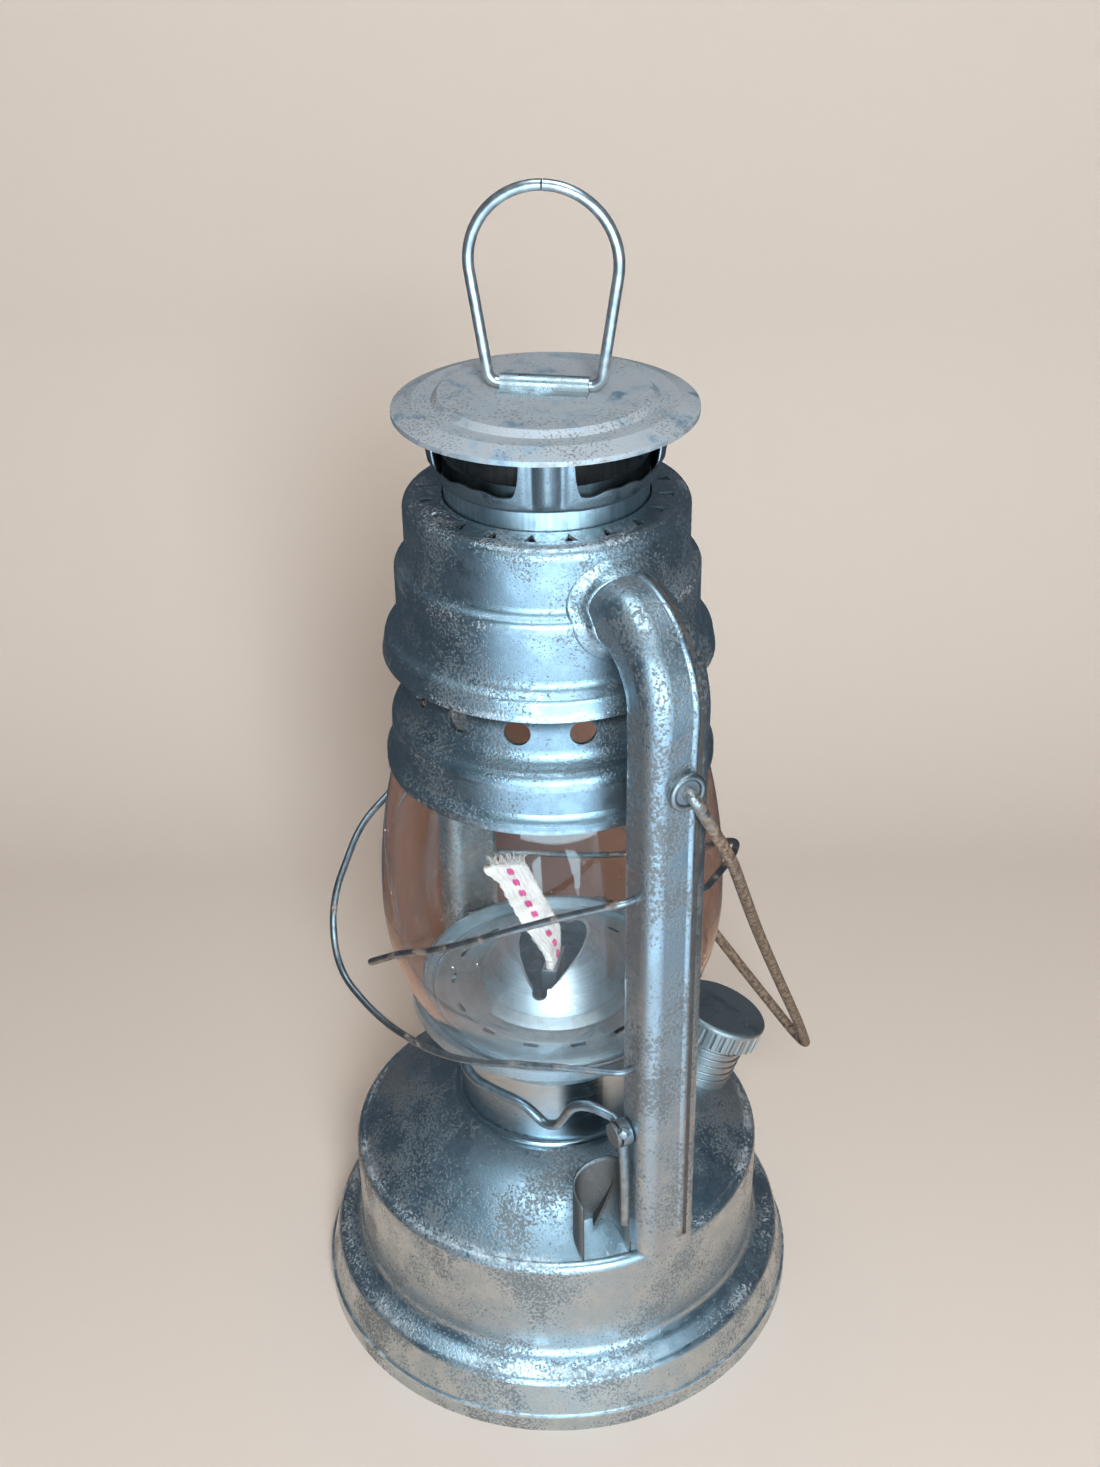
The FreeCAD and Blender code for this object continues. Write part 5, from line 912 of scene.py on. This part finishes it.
fray, given = form_tree("fray", {"Count": "Int", "Length": "Float", "Splay": "Float"})
line = made(fray, "GeometryNodeMeshToCurve", {0: given["Geometry"]})
roots = made(fray, "GeometryNodeResampleCurve", {0: line, "Count": given["Count"]}, mode="COUNT")
bend = made(
    fray, "GeometryNodeCurveQuadraticBezier",
    {"Resolution": 5, "Start": (0, 0, -0.3), "Middle": (0, 0, 0.6), "End": (0.45, 0, 1.0)},
)
section = made(fray, "GeometryNodeCurvePrimitiveCircle", {"Resolution": 5, "Radius": THREAD_HALF})
thread = made(fray, "GeometryNodeCurveToMesh", {"Curve": bend, "Profile Curve": section, "Fill Caps": True})
back = maths(fray, "MULTIPLY", given["Splay"], -1.0)
low = made(fray, "ShaderNodeCombineXYZ", {0: back, 1: back, 2: -THREAD_SPIN})
high = made(fray, "ShaderNodeCombineXYZ", {0: given["Splay"], 1: given["Splay"], 2: THREAD_SPIN})
turns = made(fray, "FunctionNodeRandomValue", {0: low, 1: high, "Seed": TURN_SEED}, data_type="FLOAT_VECTOR")
limits = {2: THREAD_SHORT, 3: THREAD_LONG, "Seed": LENGTH_SEED}
share = add(fray, "FunctionNodeRandomValue", limits, data_type="FLOAT").outputs[1]
longness = maths(fray, "MULTIPLY", share, given["Length"])
end_tree(fray, given, {"Points": roots, "Instance": thread, "Rotation": turns, "Scale": longness})

fray_points, fray_edges = [], []
for out in FRAY_ROWS:
    first = len(fray_points)
    for k in range(FRAY_STEPS + 1):
        across = -FACE_HALF + 2 * FACE_HALF * k / FRAY_STEPS
        fray_points.append(wick_point(WICK_FREE - FRAY_BELOW, across, out))
    fray_edges += [(first + k, first + k + 1) for k in range(FRAY_STEPS)]
run_tree(
    fray, "wick_fray", fray_points, fray_edges, [], "wick_strip", "cotton",
    Count=26, Length=1.9 * MM, Splay=0.75, Finish=finishes["cotton"],
)

# %% [markdown]
# Each side tube is folded from one strip of tin and closed by a lap on its outer face. The lap shows as a
# bright round edge with a dark gap beside it, from the foot up over the elbow and into the hood. A small
# section is carried along the tube: each step looks for the tube's own skin with a ray, so the lap lies
# on it everywhere.

# %% Lap seams on the side tubes
ELBOW_X, ELBOW_Z, TUBE_X, LAP_Y = 30.4, 172.9, 44.5, 2.3
LAP_FOOT, LAP_STEP, LAP_STEPS, ELBOW_STEP, ELBOW_STEPS, LAP_RAY = 46.5, 3.0, 42, 5.0, 19, 40.0
LAP_SECTION = (
    (-1.1, -0.3), (-0.85, 0.06), (-0.45, 0.30), (0.0, 0.40), (0.40, 0.28), (0.62, 0.05), (1.55, 0.05),
    (1.65, -0.3),
)
GAP_SIDE = 5

finishes["gap"], tree, shader, place = new_material("seam_gap")
grime = blend(tree, cloud(tree, place, 500.0, 4.0), rgb(0.03, 0.028, 0.027), rgb(0.12, 0.115, 0.11))
tree.links.new(grime, shader.inputs["Base Color"])
shader.inputs["Roughness"].default_value = 0.7

lap_line = [(Vector((TUBE_X, 0, LAP_FOOT + LAP_STEP * k)), Vector((1, 0, 0))) for k in range(LAP_STEPS)]
for step in range(ELBOW_STEPS):
    angle = math.radians(ELBOW_STEP * step)
    lap_line.append((Vector((ELBOW_X, 0, ELBOW_Z)), Vector((math.cos(angle), 0, math.sin(angle)))))


def skin_of(name):
    """What rays can be cast at to find the surface of one of the frame's pieces."""
    mesh = nodes[name].data
    return BVHTree.FromPolygons([v.co for v in mesh.vertices], [tuple(p.vertices) for p in mesh.polygons])


def lap_seam(label, tube, side):
    skin = skin_of(tube)
    size = len(LAP_SECTION)
    points, kept = [], 0
    for middle, way in lap_line:
        outward = Vector((way.x * side, 0, way.z))
        ring = []
        for across, out in LAP_SECTION:
            start = Vector((middle.x * side, (LAP_Y + across) * side, middle.z)) + outward * LAP_RAY
            hit = skin.ray_cast(start * MM, -outward)[0]
            if hit is None:
                break
            ring.append(hit + outward * out * MM)
        if len(ring) == size:
            points += ring
            kept += 1
    piece = new_piece(label, points, tube_faces(kept, size), finishes["tube"], finishes["gap"])
    for face in piece.data.polygons:
        if {index % size for index in face.vertices} == {GAP_SIDE, GAP_SIDE + 1}:
            face.material_index = 1
    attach(piece, "frame")
    print(label, "rings", kept)


lap_seam("right_lap", "right_tube", 1)
lap_seam("left_lap", "left_tube", -1)

# %% [markdown]
# Where an elbow enters the hood, the sheet is drawn up round it and soldered. A soft fillet ring does
# this: its section runs from the elbow's skin down onto the hood, whose surface is again found with rays.

# %% Fillets where the elbows enter the hood
MOUTH_HALF_Y, MOUTH_HALF_Z, MOUTH_CORNER, MOUTH_Z = 7.5, 7.0, 6.2, 187.0
FILLET = (
    (-0.25, 2.6), (0.10, 2.5), (0.35, 1.7), (0.8, 0.95), (1.5, 0.42), (2.4, 0.12), (2.9, 0.0), (2.9, -0.4),
    (-0.25, -0.4),
)
FILLET_STEPS, FILLET_CLEAR, FILLET_RAY = 72, 1.2, 60.0


def ring_faces(rings, size):
    """Faces of a ring of sections that closes on itself."""
    faces = []
    for step in range(rings):
        after = (step + 1) % rings
        for k in range(size):
            beside = (k + 1) % size
            faces.append((step * size + k, step * size + beside, after * size + beside, after * size + k))
    return faces


def mouth_point(angle, out):
    """A point round the elbow's mouth, a distance outside its rounded-box outline."""
    way = Vector((math.cos(angle), math.sin(angle)))
    flat_y, flat_z = MOUTH_HALF_Y - MOUTH_CORNER, MOUTH_HALF_Z - MOUTH_CORNER
    corner = Vector((math.copysign(flat_y, way.x), math.copysign(flat_z, way.y)))
    return corner + way * (MOUTH_CORNER + out)


def elbow_fillet(label, side):
    hood = skin_of("hood_shell")
    points = []
    for step in range(FILLET_STEPS):
        angle = 2 * math.pi * (step + 0.5) / FILLET_STEPS
        for out, rise in FILLET:
            spot = mouth_point(angle, out)
            foot = mouth_point(angle, max(out, FILLET_CLEAR))
            start = Vector((FILLET_RAY * side, foot.x * side, MOUTH_Z + foot.y)) * MM
            depth = abs(hood.ray_cast(start, Vector((-side, 0, 0)))[0].x) / MM
            points.append(Vector(((depth + rise) * side, spot.x * side, MOUTH_Z + spot.y)) * MM)
    piece = new_piece(label, points, ring_faces(FILLET_STEPS, len(FILLET)), finishes["hood"])
    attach(piece, "frame")
    print(label, "faces", len(piece.data.polygons))


elbow_fillet("right_fillet", 1)
elbow_fillet("left_fillet", -1)

# %% [markdown]
# The eyelets on the tubes have a rolled rim that the bail turns against, and the lift lever's eye is
# tinned onto its pin in small lumps. Rims are rings of a round section. Lumps are balls pushed in and out
# a little by noise, so that they look like solder that has run.

# %% Eyelet rims and solder
RIM_X, RIM_Z, RIM_RADIUS, RIM_HALF, RIM_STEPS, RIM_SECTION = 51.35, 159.6, 3.15, 0.7, 48, 12
LUMP_ROUGH, LUMP_SCALE, LUMP_LEVELS = 0.22, 1.7, 4


def round_ring(label, middle, way, body, finish):
    """A ring of round section about an axis through a point, in mm."""
    side = way.orthogonal().normalized()
    other = way.cross(side)
    points = []
    for step in range(RIM_STEPS):
        turn = 2 * math.pi * step / RIM_STEPS
        out = side * math.cos(turn) + other * math.sin(turn)
        for k in range(RIM_SECTION):
            lean = 2 * math.pi * k / RIM_SECTION
            reach = RIM_RADIUS + RIM_HALF * math.cos(lean)
            points.append((middle + out * reach + way * RIM_HALF * math.sin(lean)) * MM)
    piece = new_piece(label, points, ring_faces(RIM_STEPS, RIM_SECTION), finish)
    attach(piece, body)


for label, side in (("right_rim", 1), ("left_rim", -1)):
    middle = Vector((RIM_X * side, 0, RIM_Z))
    round_ring(label, middle, Vector((1, 0, 0)), "frame", finishes["eyelet"])


def solder_lump(label, middle, radius, body):
    form = bmesh.new()
    bmesh.ops.create_icosphere(form, subdivisions=LUMP_LEVELS, radius=1.0)
    for vertex in form.verts:
        way = vertex.co.normalized()
        swell = 1 + LUMP_ROUGH * noise.noise(way * LUMP_SCALE + middle)
        vertex.co = (middle + way * radius * swell) * MM
    mesh = bpy.data.meshes.new(label)
    form.to_mesh(mesh)
    form.free()
    mesh.shade_smooth()
    mesh.materials.append(finishes["eyelet"])
    piece = bpy.data.objects.new(label, mesh)
    bpy.context.scene.collection.objects.link(piece)
    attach(piece, body)


solder_lump("solder_upper", Vector((45.1, -9.0, 77.0)), 1.25, "lever")
solder_lump("solder_lower", Vector((42.0, -9.0, 73.6)), 1.15, "lever")
print("rims and solder ready")

# %% [markdown]
# At its foot the right tube opens into a scoop, where the sheet is folded aside to leave room for the
# lever. It is half a pipe that is cut off along a slope at the top and follows the dome below. A ray cast
# down on the tank finds the dome under each upright line, so that the sheet ends on it.

# %% Scoop at the foot of the right tube
SCOOP_MIDDLE, SCOOP_HALF, SCOOP_REACH, SCOOP_DEEP = -11.5, 5.0, 44.8, 7.6
SCOOP_TOP, SCOOP_SLOPE, SCOOP_STEPS, SCOOP_LEVELS = 64.5, 8.0, 36, 14
SCOOP_CLEAR, SCOOP_RAY = 0.15, 80.0

tank_skin = skin_of("tank_shell")
scoop_points, scoop_faces = [], []
for step in range(SCOOP_STEPS + 1):
    share = step / SCOOP_STEPS
    out = SCOOP_MIDDLE + SCOOP_HALF * math.cos(math.pi * share)
    hollow = SCOOP_DEEP * math.sqrt(abs(math.sin(math.pi * share)))
    across = math.sqrt(SCOOP_REACH ** 2 - out ** 2) - hollow
    fall = tank_skin.ray_cast(Vector((across, out, SCOOP_RAY)) * MM, Vector((0, 0, -1)))[0]
    foot = fall.z / MM + SCOOP_CLEAR
    top = SCOOP_TOP - SCOOP_SLOPE * share * share
    for level in range(SCOOP_LEVELS + 1):
        up = foot + (top - foot) * level / SCOOP_LEVELS
        scoop_points.append(Vector((across, out, up)) * MM)
for step in range(SCOOP_STEPS):
    for level in range(SCOOP_LEVELS):
        a = step * (SCOOP_LEVELS + 1) + level
        b = a + SCOOP_LEVELS + 1
        scoop_faces.append((a, a + 1, b + 1, b))
# The scoop takes the dark boot finish, a painted shade in its hollow.
scoop = new_piece("foot_scoop", scoop_points, scoop_faces, finishes["boot"])
sheet = scoop.modifiers.new("sheet", "SOLIDIFY")
sheet.thickness = SHEET_THICK * MM
sheet.offset = 0.0
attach(scoop, "frame")
print("scoop faces", len(scoop_faces), "lowest", round(min(point.z for point in scoop_points) / MM, 2))

# %% [markdown]
# The neck of the filler is rolled with a few coarse threads. A tree makes one ring, sets copies of it
# along a line and so gives the rounded ribs that show below the cap.

# %% Threads on the filler neck
FILLER_WAY = Vector((0.077885, 0.366421, 0.927184))
FILLER_MIDDLE = Vector((8.326, 39.169, 61.735))
THREADS_LOW, THREADS_HIGH = -13.2, -5.6

thread_ribs, given = form_tree("thread_ribs", {"Spacing": "Float", "Radius": "Float", "Thickness": "Float"})
spots, turned = spaced_along(thread_ribs, given)
loop = made(thread_ribs, "GeometryNodeCurvePrimitiveCircle", {"Resolution": 72, "Radius": given["Radius"]})
settings = {"Resolution": 10, "Radius": given["Thickness"]}
section = made(thread_ribs, "GeometryNodeCurvePrimitiveCircle", settings)
rib = made(thread_ribs, "GeometryNodeCurveToMesh", {"Curve": loop, "Profile Curve": section})
end_tree(thread_ribs, given, {"Points": spots, "Instance": rib, "Rotation": turned})

rib_line = [(FILLER_MIDDLE + FILLER_WAY * along) * MM for along in (THREADS_LOW, THREADS_HIGH)]
run_tree(
    thread_ribs, "filler_threads", rib_line, [(0, 1)], [], "frame", "tin_plate",
    Spacing=1.9 * MM, Radius=8.35 * MM, Thickness=0.38 * MM, Finish=finishes["filler"],
)

# %% [markdown]
# A little dust clings to the glass. It is made of tiny grains, scattered over the globe's skin with a
# fixed seed.

# %% Dust on the globe
SCATTER_SEED, GRAIN_SEED, GRAIN_SMALL, GRAIN_LARGE = 11, 5, 0.35, 1.3

dust, given = form_tree("dust", {"Density": "Float", "Radius": "Float"})
settings = {"Mesh": given["Geometry"], "Density": given["Density"], "Seed": SCATTER_SEED}
spots = add(dust, "GeometryNodeDistributePointsOnFaces", settings).outputs["Points"]
crumb = made(dust, "GeometryNodeMeshIcoSphere", {"Radius": given["Radius"], "Subdivisions": 1})
limits = {2: GRAIN_SMALL, 3: GRAIN_LARGE, "Seed": GRAIN_SEED}
share = add(dust, "FunctionNodeRandomValue", limits, data_type="FLOAT").outputs[1]
end_tree(dust, given, {"Points": spots, "Instance": crumb, "Scale": share})

finishes["dust"], tree, shader, place = new_material("pale_dust")
tone = cloud(tree, place, 900.0, 2.0)
tree.links.new(blend(tree, tone, rgb(0.80, 0.79, 0.77), rgb(0.55, 0.53, 0.50)), shader.inputs["Base Color"])
shader.inputs["Roughness"].default_value = 0.9
globe = nodes["glass_globe"].data
run_tree(
    dust, "globe_dust", [v.co for v in globe.vertices], [], [tuple(p.vertices) for p in globe.polygons],
    "carrier", "clear_glass", Density=1800.0, Radius=0.16 * MM, Finish=finishes["dust"],
)

# %% [markdown]
# Last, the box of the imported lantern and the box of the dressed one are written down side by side. They
# should agree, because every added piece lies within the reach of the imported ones.

# %% Sizes
visual_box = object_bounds()
for label, box in (("cad", cad_box), ("visual", visual_box)):
    print(label, "box", [[round(v / MM, 1) for v in corner] for corner in box])
